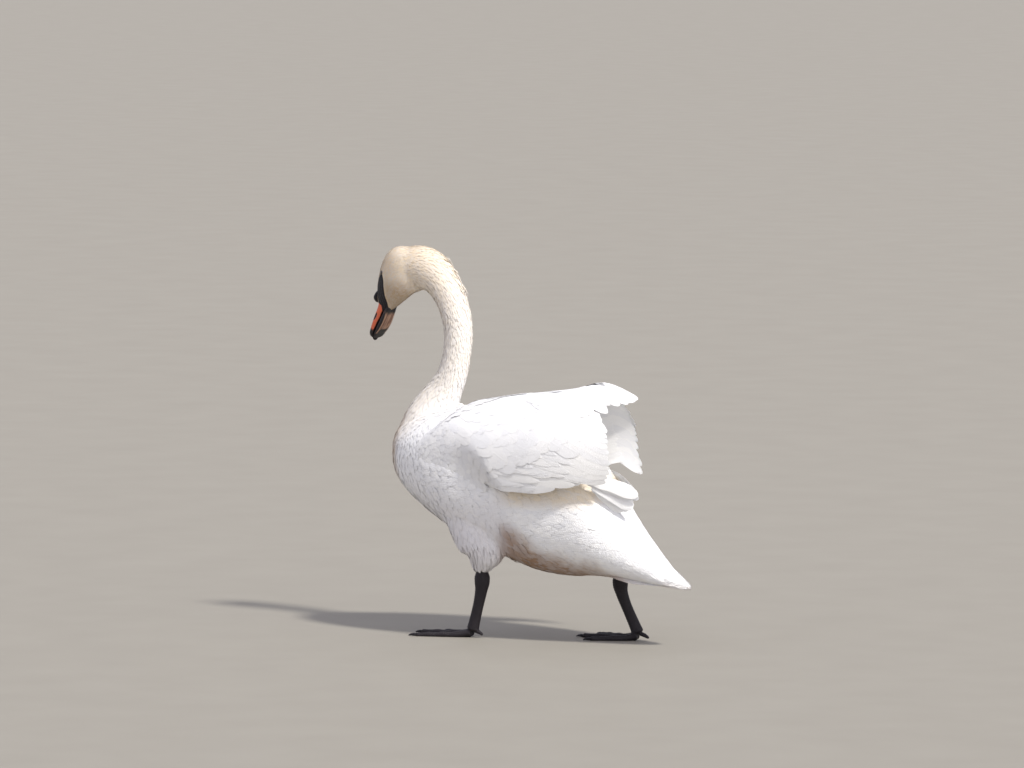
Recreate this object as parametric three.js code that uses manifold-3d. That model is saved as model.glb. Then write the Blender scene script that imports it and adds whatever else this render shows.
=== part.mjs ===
// A life-size mute swan (Cygnus olor) in mid stride, neck arched and bill bowed, its wings
// half raised over its back, parted into pieces that a person would name.
//
// Frame: the swan faces -X, its left side is -Y, and +Z is up, in millimetres. The pieces are
// laid out about a working origin on the floor under the trunk; the last lines move the group
// so that its origin is at the bottom centre of its bounding box.

import * as THREE from "three";
import { mergeVertices } from "three/addons/utils/BufferGeometryUtils.js";
import Module from "manifold-3d";

const wasm = await Module();
wasm.setup();

// ---------------------------------------------------------------- driving dimensions (mm)

const CUT = 0.3; // gap where the body is parted
const SOCKET = 9; // how far round a thigh its parting line lies
const CLEAR = 0.5; // gap between a piece and the neighbour that shaped it
const LEFT = -1; // sign of y on the swan's left
const RIGHT = 1;
const BLOCK = 2000; // edge of the blocks that cut, larger than the swan

// Trunk and tail: [x, underside, top, half width] of upright sections, breast to tail tip.
const TRUNK = [
  [-284, 352, 392, 4],
  [-276, 326, 414, 42],
  [-252, 294, 440, 74],
  [-205, 258, 458, 101],
  [-150, 224, 466, 120],
  [-80, 184, 472, 130],
  [0, 158, 478, 123],
  [70, 138, 462, 115],
  [130, 133, 420, 105],
  [190, 136, 348, 94],
  [245, 132, 272, 73],
  [300, 126, 207, 53],
  [350, 121, 156, 34],
  [388, 118, 130, 14],
  [398, 118, 123, 2],
];
const TAIL_ROOT_X = 258;

// Neck: [x, y, z, depth radius, width radius] along its middle, breast to throat.
const NECK = [
  [-203, 0, 345, 58, 58],
  [-208, 0, 395, 71, 71],
  [-203, 0, 440, 58, 58],
  [-190, 0, 474, 43, 43],
  [-173, 0, 503, 34, 34],
  [-158, 0, 534, 30, 30],
  [-148, 0, 576, 28.5, 28.5],
  [-145, 0, 612, 29, 29],
  [-150, 0, 650, 30.5, 30],
  [-163, 1, 684, 32, 31],
  [-187, 3, 719, 36, 34],
  [-218, 6, 741, 44, 37],
  [-248, 9, 745, 46.5, 38],
  [-276, 12, 732, 49, 36],
  [-298, 14, 704, 34, 28],
];
// Planes that divide the neck: [point, direction towards the head].
const HEAD_FROM_NECK = [[-212, 5, 740], [-0.88, 0.1, 0.46]];
const NECK_UPPER_FROM_MIDDLE = [[-157, 0, 668], [-0.3, 0, 0.95]];
const NECK_MIDDLE_FROM_LOWER = [[-150, 0, 566], [0.2, 0, 0.98]];
const NECK_LOWER_FROM_TRUNK = [[-196, 0, 455], [-0.45, 0, 0.89]];

// Head: its own frame has its origin on the gape line where the bill meets the feathers,
// x forward along the bill, y to the swan's left, z towards the crown.
const HEAD_PLACE = { x: -330.5, y: 15, z: 658.8, yaw: 15, pitch: 68 };
// [forward, lower edge, upper edge, half width] of sections of the feathered head.
const SKULL = [
  [-143, -29, -4, 3],
  [-135, -45, 13, 17],
  [-121, -55, 25, 25.5],
  [-104, -62, 31, 29.5],
  [-84, -65, 33.5, 31],
  [-64, -62, 32.5, 29.5],
  [-44, -50, 30.5, 25.5],
  [-24, -36, 26.5, 19.5],
  [-8, -24, 20, 14],
  [5, -13.5, 10, 9],
  [10, -6, 2, 3],
];
const EYE = { forward: -75, side: 19.5, up: 11, radius: 6.5 };

// Bill: [forward, lower edge, upper edge, half width] of sections in its own frame, which is
// bowed less than the skull's.
const BILL_PLACE = { x: -321.5, y: 15, z: 658.7, yaw: 15, pitch: 60 };
const BILL_UPPER = [
  [-30, 2, 27, 11],
  [-12, 1, 26, 13.5],
  [6, 0, 19.5, 15],
  [26, 0, 17.5, 16],
  [46, 0, 14.5, 17],
  [61, -0.5, 12, 17],
  [69, -1, 9.5, 14],
  [74, -2, 6, 6.5],
];
const BILL_LOWER = [
  [-26, -12, -0.6, 11],
  [0, -14, -0.6, 13.5],
  [25, -14.5, -0.6, 15.5],
  [45, -11.5, -0.8, 16],
  [59, -7, -1.2, 15],
  [67, -5, -1.8, 12],
  [71, -3.5, -2.2, 6],
];
const KNOB = { forward: -15, up: 24, length: 13, width: 10.5, height: 9.5 };
const NAIL = { forward: 70, up: 2.2, length: 9, width: 7.5, height: 4.4 };

// Folded wing, one side: [x, ridge z, ridge out, widest z, widest out, edge z, edge out].
// Its outer face is an arch from the lower edge, out round the flank, up to the ridge.
const WING_FRONT = [
  [-240, 428, 64, 364, 90, 334, 82],
  [-190, 460, 42, 366, 119, 306, 103],
  [-130, 474, 31, 368, 138, 292, 120],
  [-60, 488, 27, 372, 149, 290, 133],
  [20, 500, 26, 378, 154, 294, 140],
];
const WING = {
  left: [
    ...WING_FRONT,
    [90, 506, 26, 386, 153, 303, 139],
    [150, 512, 28, 396, 144, 316, 127],
    [200, 518, 30, 404, 127, 322, 106],
    [240, 511, 33, 408, 106, 326, 82],
    [290, 494, 38, 410, 76, 336, 56],
  ],
  right: [
    ...WING_FRONT,
    [90, 506, 26, 392, 156, 326, 146],
    [150, 512, 28, 408, 157, 356, 148],
    [200, 514, 30, 408, 156, 334, 144],
    [240, 509, 33, 406, 152, 320, 138],
    [290, 494, 38, 414, 142, 332, 126],
  ],
};
const WING_THICK = 14; // at the shoulder; the free rear of the wing thins to WING_EDGE
const WING_EDGE = 3;
const SADDLE = 0.68; // share of the arch, from below, where the scapulars begin
const SHOULDER_END_X = -20; // the coverts' shield ends and the flight feathers begin here
const TERTIALS = { startX: 158, low: 0.62, proud: 9, thick: 4 };
// Rear edge of each folded wing: [share of the arch from below, x].
const WING_END = {
  left: [[0, 244], [0.2, 258], [0.42, 256], [0.62, 238], [0.72, 224], [1, 224]],
  right: [[0, 206], [0.1, 192], [0.42, 178], [0.62, 170], [0.72, 166], [1, 168]],
};
const TERTIAL_END = {
  left: [[0.62, 214], [0.75, 264], [0.88, 292], [1, 266]],
  right: [[0.62, 168], [0.75, 182], [0.88, 192], [1, 190]],
};

// Feathered thighs: [x, y, z, depth radius, width radius] from the trunk to the feather edge.
const THIGHS = {
  left: [
    [-85, -60, 315, 60, 42],
    [-76, -66, 262, 60, 46],
    [-56, -68, 215, 58, 43],
    [-45, -66, 178, 46, 35],
    [-51, -63, 157, 27, 24],
    [-56, -60, 141, 17, 16],
    [-56, -60, 137, 9, 9],
  ],
  right: [
    [-20, 62, 285, 60, 42],
    [25, 66, 240, 60, 42],
    [80, 68, 195, 46, 38],
    [130, 66, 164, 30, 28],
    [174, 63, 148, 21, 19],
    [198, 62, 138.5, 16.5, 15],
    [203, 62, 135, 9, 8],
  ],
};

// Bare legs: top, hock and toe joint, then [share of length, depth radius, width radius].
const LEGS = {
  left: { top: [-55, -60, 152], hock: [-55, -60, 108], toe: [-77, -60, 13], yaw: 4 },
  right: { top: [203, 62, 146], hock: [201, 61, 106], toe: [243, 60, 13], yaw: -3 },
};
const SHANK = [
  [0, 12, 11],
  [0.2, 13, 12],
  [0.34, 16.5, 13.5],
  [0.46, 16, 12.5],
  [0.58, 13, 10],
  [0.75, 11.5, 8.5],
  [0.9, 12, 9.5],
  [1, 13.5, 11],
];
// Toes: turn from straight ahead in degrees (outwards), length and radius at the root.
const TOES = {
  inner: { turn: -25, length: 98, radius: 7 },
  middle: { turn: 0, length: 126, radius: 8 },
  outer: { turn: 24, length: 118, radius: 7 },
};
const HIND_TOE = { length: 20, radius: 4.5, up: 15 };
const CLAW = { length: 13, radius: 3.2 };
const WEB_THICK = 3;

// Primaries of each folded wing: [x, out, z] of the root and tip of two blades.
const PRIMARIES = {
  left: [
    { root: [172, 100, 346], tip: [293, 34, 305] },
    { root: [166, 98, 320], tip: [278, 30, 272] },
  ],
  right: [
    { root: [150, 102, 336], tip: [262, 26, 294] },
    { root: [148, 98, 316], tip: [250, 26, 276] },
  ],
};
const BLADE = { halfWidth: 15, halfThick: 4 };

// ---------------------------------------------------------------- shape tools

const at = (list) => new THREE.Vector3(...list);
const radians = THREE.MathUtils.degToRad;

// A smooth function through rows [key, value, value...]: monotone cubic for each column.
function through(rows) {
  const keys = rows.map((row) => row[0]);
  const columns = rows[0].slice(1).map((_, c) => rows.map((row) => row[c + 1]));
  const slopes = columns.map((values) => {
    const chord = keys.slice(1).map((k, i) => (values[i + 1] - values[i]) / (k - keys[i]));
    return keys.map((_, i) => {
      if (i === 0) return chord[0];
      if (i === keys.length - 1) return chord[i - 1];
      const [before, after] = [chord[i - 1], chord[i]];
      return before * after <= 0 ? 0 : (2 * before * after) / (before + after);
    });
  });
  return (key) => {
    const last = keys.length - 2;
    const found = keys.findIndex((k) => k > key) - 1;
    const i = found < 0 ? (key <= keys[0] ? 0 : last) : found;
    const span = keys[i + 1] - keys[i];
    const t = THREE.MathUtils.clamp((key - keys[i]) / span, 0, 1);
    const [a, b] = [(1 + 2 * t) * (1 - t) ** 2, t * (1 - t) ** 2 * span];
    const [c, d] = [t * t * (3 - 2 * t), t * t * (t - 1) * span];
    return columns.map((v, j) => a * v[i] + b * slopes[j][i] + c * v[i + 1] + d * slopes[j][i + 1]);
  };
}

// A closed skin: a sphere's grid, its rows set along a body and its columns round it.
// place(along, turn) gives the point at a share of the length and an angle round it.
function loft(rows, sides, place) {
  const geometry = new THREE.SphereGeometry(1, sides, rows);
  const position = geometry.getAttribute("position");
  for (let row = 0; row <= rows; row++) {
    for (let side = 0; side <= sides; side++) {
      const point = place(row / rows, (2 * Math.PI * (side % sides)) / sides);
      position.setXYZ(row * (sides + 1) + side, point.x, point.y, point.z);
    }
  }
  return geometry;
}

// A closed curved plate: a thin box's grid laid over two surfaces, each of which gives a
// point for two shares, along and up.
function plate(alongSteps, upSteps, outer, inner) {
  const geometry = new THREE.BoxGeometry(1, 1, 1, alongSteps, upSteps, 1);
  const position = geometry.getAttribute("position");
  for (let i = 0; i < position.count; i++) {
    const [along, up] = [position.getX(i) + 0.5, position.getY(i) + 0.5];
    const point = (position.getZ(i) > 0 ? outer : inner)(along, up);
    position.setXYZ(i, point.x, point.y, point.z);
  }
  return geometry;
}

// A geometry as a solid, its faces turned outwards.
function solid(geometry) {
  const bare = geometry.clone();
  bare.deleteAttribute("normal");
  bare.deleteAttribute("uv");
  const merged = mergeVertices(bare, 1e-3);
  const index = merged.index.array;
  const build = (first, second) => {
    const kept = [];
    for (let i = 0; i < index.length; i += 3) {
      const [a, b, c] = [index[i], index[i + first], index[i + second]];
      if (a !== b && b !== c && a !== c) kept.push(a, b, c);
    }
    const vertProperties = Float32Array.from(merged.attributes.position.array);
    const triVerts = Uint32Array.from(kept);
    return new wasm.Manifold(new wasm.Mesh({ numProp: 3, vertProperties, triVerts }));
  };
  const made = build(1, 2);
  return made.volume() > 0 ? made : build(2, 1);
}

function geometryOf(body) {
  const { numProp, numVert, vertProperties, triVerts } = body.getMesh();
  const points = new Float32Array(numVert * 3);
  for (let i = 0; i < numVert; i++) {
    points.set(vertProperties.subarray(i * numProp, i * numProp + 3), i * 3);
  }
  const geometry = new THREE.BufferGeometry();
  geometry.setAttribute("position", new THREE.BufferAttribute(points, 3));
  geometry.setIndex(new THREE.BufferAttribute(Uint32Array.from(triVerts), 1));
  return geometry;
}

// The largest single body, dropping slivers that a cut leaves.
function mainBody(body) {
  const bodies = body.decompose();
  return bodies.reduce((best, next) => (next.volume() > best.volume() ? next : best));
}

// All that lies ahead of a plane through a point.
function halfSpace(point, normal) {
  const block = new THREE.BoxGeometry(BLOCK, BLOCK, BLOCK);
  block.translate(0, 0, BLOCK / 2);
  const turn = new THREE.Quaternion().setFromUnitVectors(new THREE.Vector3(0, 0, 1), normal);
  return solid(block.applyQuaternion(turn).translate(point.x, point.y, point.z));
}

// Both sides of a plane, parted by a thin cut: [behind, ahead].
function part(body, [point, direction]) {
  const normal = at(direction).normalize();
  const step = normal.clone().multiplyScalar(CUT / 2);
  const ahead = halfSpace(at(point).add(step), normal);
  const behind = halfSpace(at(point).sub(step), normal.clone().negate());
  return [mainBody(body.intersect(behind)), mainBody(body.intersect(ahead))];
}

// A body of upright sections along x, such as the trunk, the skull or a mandible. A bulge
// over 2 squares its sections a little, and grow makes it larger all over.
function sectioned(stations, rows, sides, bulge, grow = 0) {
  const section = through(stations);
  const first = stations[0][0] - grow;
  const last = stations[stations.length - 1][0] + grow;
  const squared = (v) => Math.sign(v) * Math.abs(v) ** (2 / bulge);
  return loft(rows, sides, (along, turn) => {
    const eased = (1 - Math.cos(Math.PI * along)) / 2;
    const x = THREE.MathUtils.lerp(first, last, (along + eased) / 2);
    const [low, high, half] = section(x);
    const middle = (low + high) / 2;
    if (along === 0 || along === 1) return new THREE.Vector3(x, 0, middle);
    const y = (half + grow) * squared(Math.cos(turn));
    return new THREE.Vector3(x, y, middle + ((high - low) / 2 + grow) * squared(Math.sin(turn)));
  });
}

// A tube along stations [x, y, z, depth radius, width radius], its width lying nearest to
// the swan's own, and grow makes it larger all over.
function tube(stations, rows, sides, grow = 0) {
  const across = new THREE.Vector3(0, 1, 0);
  const middle = new THREE.CatmullRomCurve3(stations.map((s) => at(s.slice(0, 3))));
  const steps = stations.length - 1;
  const radius = through(stations.map((s, i) => [i / steps, s[3], s[4]]));
  return loft(rows, sides, (along, turn) => {
    const centre = middle.getPoint(along);
    const forward = middle.getTangent(along);
    if (along === 0 || along === 1) return centre.addScaledVector(forward, along ? grow : -grow);
    const side = across.clone().addScaledVector(forward, -across.dot(forward)).normalize();
    const up = forward.clone().cross(side);
    const [deep, wide] = radius(along);
    return centre
      .addScaledVector(up, (deep + grow) * Math.sin(turn))
      .addScaledVector(side, (wide + grow) * Math.cos(turn));
  });
}

function ellipsoid({ length, width, height }, sides, rows, grow = 0) {
  const ball = new THREE.SphereGeometry(1, sides, rows);
  return ball.scale(length + grow, width + grow, height + grow);
}

// ---------------------------------------------------------------- head and bill

// A frame with x forward and down along its pitch, and y to the swan's left.
function frameOf({ x, y, z, yaw, pitch }) {
  return new THREE.Matrix4()
    .makeTranslation(x, y, z)
    .multiply(new THREE.Matrix4().makeRotationZ(radians(180 - yaw)))
    .multiply(new THREE.Matrix4().makeRotationY(radians(pitch)));
}

const inHead = (geometry) => solid(geometry.applyMatrix4(frameOf(HEAD_PLACE)));
const inBill = (geometry) => solid(geometry.applyMatrix4(frameOf(BILL_PLACE)));

// An eye, on the left of the head where side is 1 and on the right where it is -1.
function eyeball(side, grow = 0) {
  const ball = new THREE.SphereGeometry(EYE.radius + grow, 10, 8);
  return inHead(ball.translate(EYE.forward, side * EYE.side, EYE.up));
}

const skull = (grow = 0) => inHead(sectioned(SKULL, 12, 14, 2.1, grow));
const knob = (grow) => inHead(ellipsoid(KNOB, 10, 7, grow).translate(KNOB.forward, 0, KNOB.up));
const nail = (grow) => inBill(ellipsoid(NAIL, 10, 6, grow).translate(NAIL.forward, 0, NAIL.up));

function buildHead(feathered) {
  const skullGrown = skull(CLEAR);
  const upper = inBill(sectioned(BILL_UPPER, 12, 10, 2.5));
  const upperGrown = inBill(sectioned(BILL_UPPER, 12, 10, 2.5, CLEAR));
  const lower = inBill(sectioned(BILL_LOWER, 10, 10, 2.6));
  return {
    head: feathered.subtract(eyeball(1, CUT)).subtract(eyeball(-1, CUT)),
    eye_left: eyeball(1),
    eye_right: eyeball(-1),
    bill_upper: mainBody(upper.subtract(skullGrown).subtract(knob(CUT)).subtract(nail(CUT))),
    bill_lower: mainBody(lower.subtract(skullGrown).subtract(upperGrown).subtract(nail(CUT))),
    bill_knob: mainBody(knob(0).subtract(skullGrown)),
    bill_nail: nail(0),
  };
}

// ---------------------------------------------------------------- wings

const wingSections = { [LEFT]: through(WING.left), [RIGHT]: through(WING.right) };

// A point on a folded wing's outer face. x runs from shoulder to tips, up from 0 at the
// lower edge to 1 at the ridge, and inset moves the point towards the body.
function wingPoint(side, x, up, inset) {
  const [ridgeZ, ridgeOut, wideZ, wideOut, edgeZ, edgeOut] = wingSections[side](x);
  const tuck = Math.acos((edgeOut - ridgeOut) / (wideOut - ridgeOut));
  const turn = THREE.MathUtils.lerp(-tuck, Math.PI / 2, up);
  const rise = turn < 0 ? (wideZ - edgeZ) / Math.sin(tuck) : ridgeZ - wideZ;
  const out = ridgeOut + (wideOut - ridgeOut - inset) * Math.cos(turn);
  return new THREE.Vector3(x, side * out, wideZ + (rise - inset) * Math.sin(turn));
}

// A piece of the wing between two heights on the arch and two edges that give x for a
// height. proud and thick give the depth of its faces for shares along and up.
function wingPlate(side, [alongSteps, upSteps], edges, [lowUp, highUp], proud, thick) {
  const face = (depth) => (along, up) => {
    const height = THREE.MathUtils.lerp(lowUp, highUp, up);
    const x = THREE.MathUtils.lerp(edges[0](height), edges[1](height), along);
    const rim = Math.min(1, 0.25 + 4 * Math.min(up, 1 - up, along + 0.1, 1.02 - along));
    const inset = depth * thick(x) * rim - proud(along, up);
    return wingPoint(side, x, height, inset);
  };
  return solid(plate(alongSteps, upSteps, face(0), face(1)));
}

const fold = (x) =>
  THREE.MathUtils.lerp(WING_THICK, WING_EDGE, THREE.MathUtils.smoothstep(x, 40, 215));

function blade({ root, tip }, side) {
  const [start, end] = [root, tip].map(([x, out, z]) => new THREE.Vector3(x, side * out, z));
  const { halfWidth, halfThick } = BLADE;
  const shares = [[0, 0.4], [0.25, 1], [0.5, 1], [0.8, 0.8], [1, 0.15]];
  const stations = shares.map(([share, size]) => [
    ...start.clone().lerp(end, share).toArray(),
    halfWidth * size,
    halfThick * size,
  ]);
  return solid(tube(stations, 8, 8));
}

function buildWing(side, name, body) {
  const start = () => WING_FRONT[0][0];
  const shieldEnd = () => SHOULDER_END_X;
  const quillStart = () => SHOULDER_END_X + CUT;
  const saddleEnd = () => TERTIALS.startX;
  const tertialStart = () => TERTIALS.startX + CUT;
  const wingEnd = through(WING_END[name]);
  const tertialEnd = through(TERTIAL_END[name]);
  const end = (height) => wingEnd(height)[0];
  const overEnd = (height) => tertialEnd(height)[0];
  const flush = () => 0;
  const seam = 0.002;
  const below = [0, SADDLE - seam];
  const above = [SADDLE + seam, 1];
  const swell = (along) => CLEAR + TERTIALS.proud * Math.sin(Math.PI * Math.min(1, along * 1.1));
  const proud = (along, up) => (TERTIALS.thick + swell(along)) * Math.min(1, 0.5 + 2 * up);
  const shield = wingPlate(side, [7, 7], [start, shieldEnd], below, flush, fold);
  const saddle = wingPlate(side, [11, 3], [start, saddleEnd], above, flush, fold);
  const quills = wingPlate(side, [9, 7], [quillStart, end], below, flush, fold);
  const cover = [TERTIALS.low, 1];
  const thin = () => TERTIALS.thick;
  const tertials = wingPlate(side, [6, 4], [tertialStart, overEnd], cover, proud, thin);
  const blades = PRIMARIES[name].map((each) => blade(each, side));
  const primaries = blades[0].add(blades[1]).subtract(quills);
  return {
    [`wing_${name}_shoulder`]: mainBody(shield.subtract(body)),
    [`wing_${name}_scapulars`]: mainBody(saddle.subtract(body)),
    [`wing_${name}_secondaries`]: mainBody(quills.subtract(body)),
    [`wing_${name}_tertials`]: mainBody(tertials.subtract(quills).subtract(body)),
    [`wing_${name}_primaries`]: mainBody(primaries.subtract(body)),
  };
}

// ---------------------------------------------------------------- legs and feet

const floorBlock = halfSpace(new THREE.Vector3(), new THREE.Vector3(0, 0, -1));

function shank({ top, hock, toe }, grow = 0) {
  const path = new THREE.CatmullRomCurve3([at(top), at(hock), at(toe)]);
  const stations = SHANK.map(([share, deep, wide]) => [
    ...path.getPoint(share).toArray(),
    deep,
    wide,
  ]);
  return solid(tube(stations, 11, 9, grow));
}

// Where a toe runs on the floor: its root, its tip and the direction between them.
function toeLine(joint, heading, length) {
  const direction = new THREE.Vector3(-Math.cos(heading), Math.sin(heading), 0);
  const root = new THREE.Vector3(joint[0], joint[1], 0).addScaledVector(direction, 2);
  return { root, tip: root.clone().addScaledVector(direction, length), direction };
}

function toeBody(joint, { heading, length, radius }) {
  const { root, tip } = toeLine(joint, heading, length);
  const stations = [0, 0.12, 0.45, 0.75, 0.94, 1].map((share) => {
    const girth = radius * (1 - 0.42 * share) * (share === 1 ? 0.5 : 1);
    const rise = THREE.MathUtils.lerp(joint[2] * 0.8, girth * 0.72, Math.min(1, share * 4));
    const centre = root.clone().lerp(tip, share);
    return [centre.x, centre.y, rise, girth, girth];
  });
  return solid(tube(stations, 6, 6));
}

// The web between the toes, its free edge hung between their tips in shallow curves.
function web(joint, toes) {
  const heel = new THREE.Vector2(joint[0] - 4, joint[1]);
  const tips = toes.map(({ heading, length }) => toeLine(joint, heading, length * 0.93).tip);
  const outline = [heel, new THREE.Vector2(tips[0].x, tips[0].y)];
  for (let i = 1; i < tips.length; i++) {
    for (const share of [0.33, 0.67, 1]) {
      const sag = 1 - 0.16 * Math.sin(Math.PI * share);
      const edge = new THREE.Vector2().lerpVectors(tips[i - 1], tips[i], share).sub(heel);
      outline.push(edge.multiplyScalar(sag).add(heel));
    }
  }
  const shape = new THREE.Shape(outline);
  return solid(new THREE.ExtrudeGeometry(shape, { depth: WEB_THICK, bevelEnabled: false }));
}

function claw(joint, { heading, length }, grow = 0) {
  const { tip, direction } = toeLine(joint, heading, length);
  const shares = [[-0.35, 0.4, 0.6], [0.1, 0.6, 1], [0.6, 0.2, 0.7], [1, -1.6, 0.3]];
  const stations = shares.map(([share, lift, size]) => {
    const centre = tip.clone().addScaledVector(direction, share * CLAW.length);
    return [centre.x, centre.y, CLAW.radius + lift, CLAW.radius * size, CLAW.radius * size];
  });
  return solid(tube(stations, 5, 5, grow));
}

function hindToe(joint) {
  const { length, radius, up } = HIND_TOE;
  const shares = [[0, 0, 1], [0.5, -3, 0.95], [1, -8, 0.55]];
  const stations = shares.map(([share, lift, size]) => [
    joint[0] + 4 + share * length,
    joint[1],
    up + lift,
    radius * size,
    radius * size,
  ]);
  return solid(tube(stations, 5, 6));
}

const thigh = (name, grow = 0) => solid(tube(THIGHS[name], 9, 14, grow));

function buildLeg(name, outward, body) {
  const leg = LEGS[name];
  const toes = Object.entries(TOES).map(([toe, { turn, length, radius }]) => {
    return { toe, heading: radians(leg.yaw + outward * turn), length, radius };
  });
  const claws = toes.map((toe) => claw(leg.toe, toe).subtract(floorBlock));
  let foot = web(leg.toe, toes).add(hindToe(leg.toe));
  for (const toe of toes) foot = foot.add(toeBody(leg.toe, toe));
  foot = foot.subtract(floorBlock).subtract(shank(leg, CUT));
  for (const toe of toes) foot = foot.subtract(claw(leg.toe, toe, CUT));
  return {
    [`shank_${name}`]: mainBody(shank(leg).subtract(thigh(name, CUT)).subtract(body)),
    [`foot_${name}`]: mainBody(foot),
    ...Object.fromEntries(toes.map(({ toe }, i) => [`claw_${name}_${toe}`, claws[i]])),
  };
}

// ---------------------------------------------------------------- the whole swan

function buildSwan() {
  const trunkBare = solid(sectioned(TRUNK, 21, 22, 2.2));
  const neckGrown = solid(tube(NECK, 24, 16, CLEAR));
  const bodyGrown = solid(sectioned(TRUNK, 21, 22, 2.2, CLEAR)).add(neckGrown);
  const neckAndHead = solid(tube(NECK, 24, 16)).add(skull());
  const [neckWhole, head] = part(neckAndHead, HEAD_FROM_NECK);
  const [neckBelow, neckUpper] = part(neckWhole, NECK_UPPER_FROM_MIDDLE);
  const [neckRoot, neckMiddle] = part(neckBelow, NECK_MIDDLE_FROM_LOWER);
  const body = trunkBare.add(thigh("left")).add(thigh("right")).add(neckRoot);
  const [trunkAndTail, neckLower] = part(body, NECK_LOWER_FROM_TRUNK);
  const [torso, tail] = part(trunkAndTail, [[TAIL_ROOT_X, 0, 0], [1, 0, 0]]);
  const socketsGrown = thigh("left", SOCKET + CUT).add(thigh("right", SOCKET + CUT));
  const trunk = mainBody(torso.subtract(socketsGrown));
  return {
    ...buildHead(head),
    neck_upper: neckUpper,
    neck_middle: neckMiddle,
    neck_lower: neckLower,
    trunk,
    tail,
    thigh_left: mainBody(torso.intersect(thigh("left", SOCKET))),
    thigh_right: mainBody(torso.intersect(thigh("right", SOCKET))),
    ...buildWing(LEFT, "left", bodyGrown),
    ...buildWing(RIGHT, "right", bodyGrown),
    ...buildLeg("left", LEFT, bodyGrown),
    ...buildLeg("right", RIGHT, bodyGrown),
  };
}

const PLUMAGE = { color: 0xf4f1e8, roughness: 0.85, metalness: 0 };
const BILL = { color: 0xc8502e, roughness: 0.45, metalness: 0 };
const BLACK_HORN = { color: 0x17161a, roughness: 0.5, metalness: 0 };
const LEG_SKIN = { color: 0x1c1a1d, roughness: 0.6, metalness: 0 };
const WET_EYE = { color: 0x140c08, roughness: 0.08, metalness: 0 };

function finishOf(name) {
  if (name.startsWith("eye_")) return WET_EYE;
  if (name === "bill_upper") return BILL;
  if (name.startsWith("bill_")) return BLACK_HORN;
  if (/^(shank|foot|claw)_/.test(name)) return LEG_SKIN;
  return PLUMAGE;
}

const swan = new THREE.Group();
for (const [name, body] of Object.entries(buildSwan())) {
  const mesh = new THREE.Mesh(geometryOf(body), new THREE.MeshStandardMaterial(finishOf(name)));
  mesh.name = name;
  swan.add(mesh);
}
const box = new THREE.Box3().setFromObject(swan);
const middle = box.getCenter(new THREE.Vector3());
swan.position.set(-middle.x, -middle.y, -box.min.z);

export default swan;
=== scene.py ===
"""A life-size mute swan in mid stride: one skin under the coat, solid feathers that follow the
lie of the plumage, a carved bill, wet eyes and scaled black legs.

Metres, +Z up. The bird faces -X, its left side is -Y. Shapes are laid out about a working
origin on the floor under the trunk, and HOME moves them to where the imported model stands.
"""

import math

import bpy
import numpy as np
from mathutils import Matrix, Vector
from mathutils.bvhtree import BVHTree


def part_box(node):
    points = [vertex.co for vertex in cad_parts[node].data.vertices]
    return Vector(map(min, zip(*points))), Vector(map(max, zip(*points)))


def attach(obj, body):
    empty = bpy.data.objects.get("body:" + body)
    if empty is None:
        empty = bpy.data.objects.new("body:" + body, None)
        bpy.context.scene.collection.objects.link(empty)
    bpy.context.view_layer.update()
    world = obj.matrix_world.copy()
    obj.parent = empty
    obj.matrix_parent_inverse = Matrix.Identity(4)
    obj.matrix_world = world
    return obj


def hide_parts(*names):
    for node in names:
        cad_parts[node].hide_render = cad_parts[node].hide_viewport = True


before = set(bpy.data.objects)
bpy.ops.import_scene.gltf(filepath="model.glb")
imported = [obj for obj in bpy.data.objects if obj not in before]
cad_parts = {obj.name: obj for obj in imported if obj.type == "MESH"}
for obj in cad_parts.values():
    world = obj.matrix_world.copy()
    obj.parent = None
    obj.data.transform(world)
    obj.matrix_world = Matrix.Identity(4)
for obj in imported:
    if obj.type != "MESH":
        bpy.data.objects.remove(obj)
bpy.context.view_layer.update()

# ---------------------------------------------------------------- driving dimensions (m)

MM = 0.001
TAIL_TIP = 0.398
HOME = np.array([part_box("tail")[1].x - TAIL_TIP, 0.0, 0.0])
LEFT, RIGHT = -1, 1
NAMES = {LEFT: "left", RIGHT: "right"}

# Trunk and tail: [x, underside, top, half width] of upright sections.
TRUNK = MM * np.array([
    [-284, 352, 392, 4], [-276, 326, 414, 42], [-252, 294, 440, 74], [-205, 258, 458, 101],
    [-150, 224, 466, 120], [-80, 184, 472, 130], [0, 158, 478, 123], [70, 138, 462, 115],
    [130, 133, 420, 105], [190, 136, 348, 94], [245, 132, 272, 73], [300, 126, 207, 53],
    [350, 121, 156, 34], [388, 118, 130, 14], [398, 118, 123, 2],
])
# Neck: [x, y, z, depth radius, width radius] along its middle, breast to throat.
NECK = MM * np.array([
    [-203, 0, 345, 58, 58], [-208, 0, 395, 71, 71], [-203, 0, 440, 58, 58],
    [-190, 0, 474, 43, 43], [-173, 0, 503, 34, 34], [-158, 0, 534, 30, 30],
    [-148, 0, 576, 28.5, 28.5], [-145, 0, 612, 29, 29], [-150, 0, 650, 30.5, 30],
    [-163, 1, 684, 32, 31], [-187, 3, 719, 36, 34], [-218, 6, 741, 44, 37],
    [-248, 9, 745, 46.5, 38], [-276, 12, 732, 49, 36], [-298, 14, 704, 34, 28],
])
THIGHS = {
    LEFT: MM * np.array([
        [-85, -60, 315, 60, 42], [-76, -66, 262, 60, 46], [-56, -68, 215, 58, 43],
        [-45, -66, 178, 46, 35], [-51, -63, 157, 27, 24], [-56, -60, 141, 17, 16],
        [-56, -60, 137, 9, 9],
    ]),
    RIGHT: MM * np.array([
        [-20, 62, 285, 60, 42], [25, 66, 240, 60, 42], [80, 68, 195, 46, 38],
        [130, 66, 164, 30, 28], [174, 63, 148, 21, 19], [198, 62, 138.5, 16.5, 15],
        [203, 62, 135, 9, 8],
    ]),
}
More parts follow.
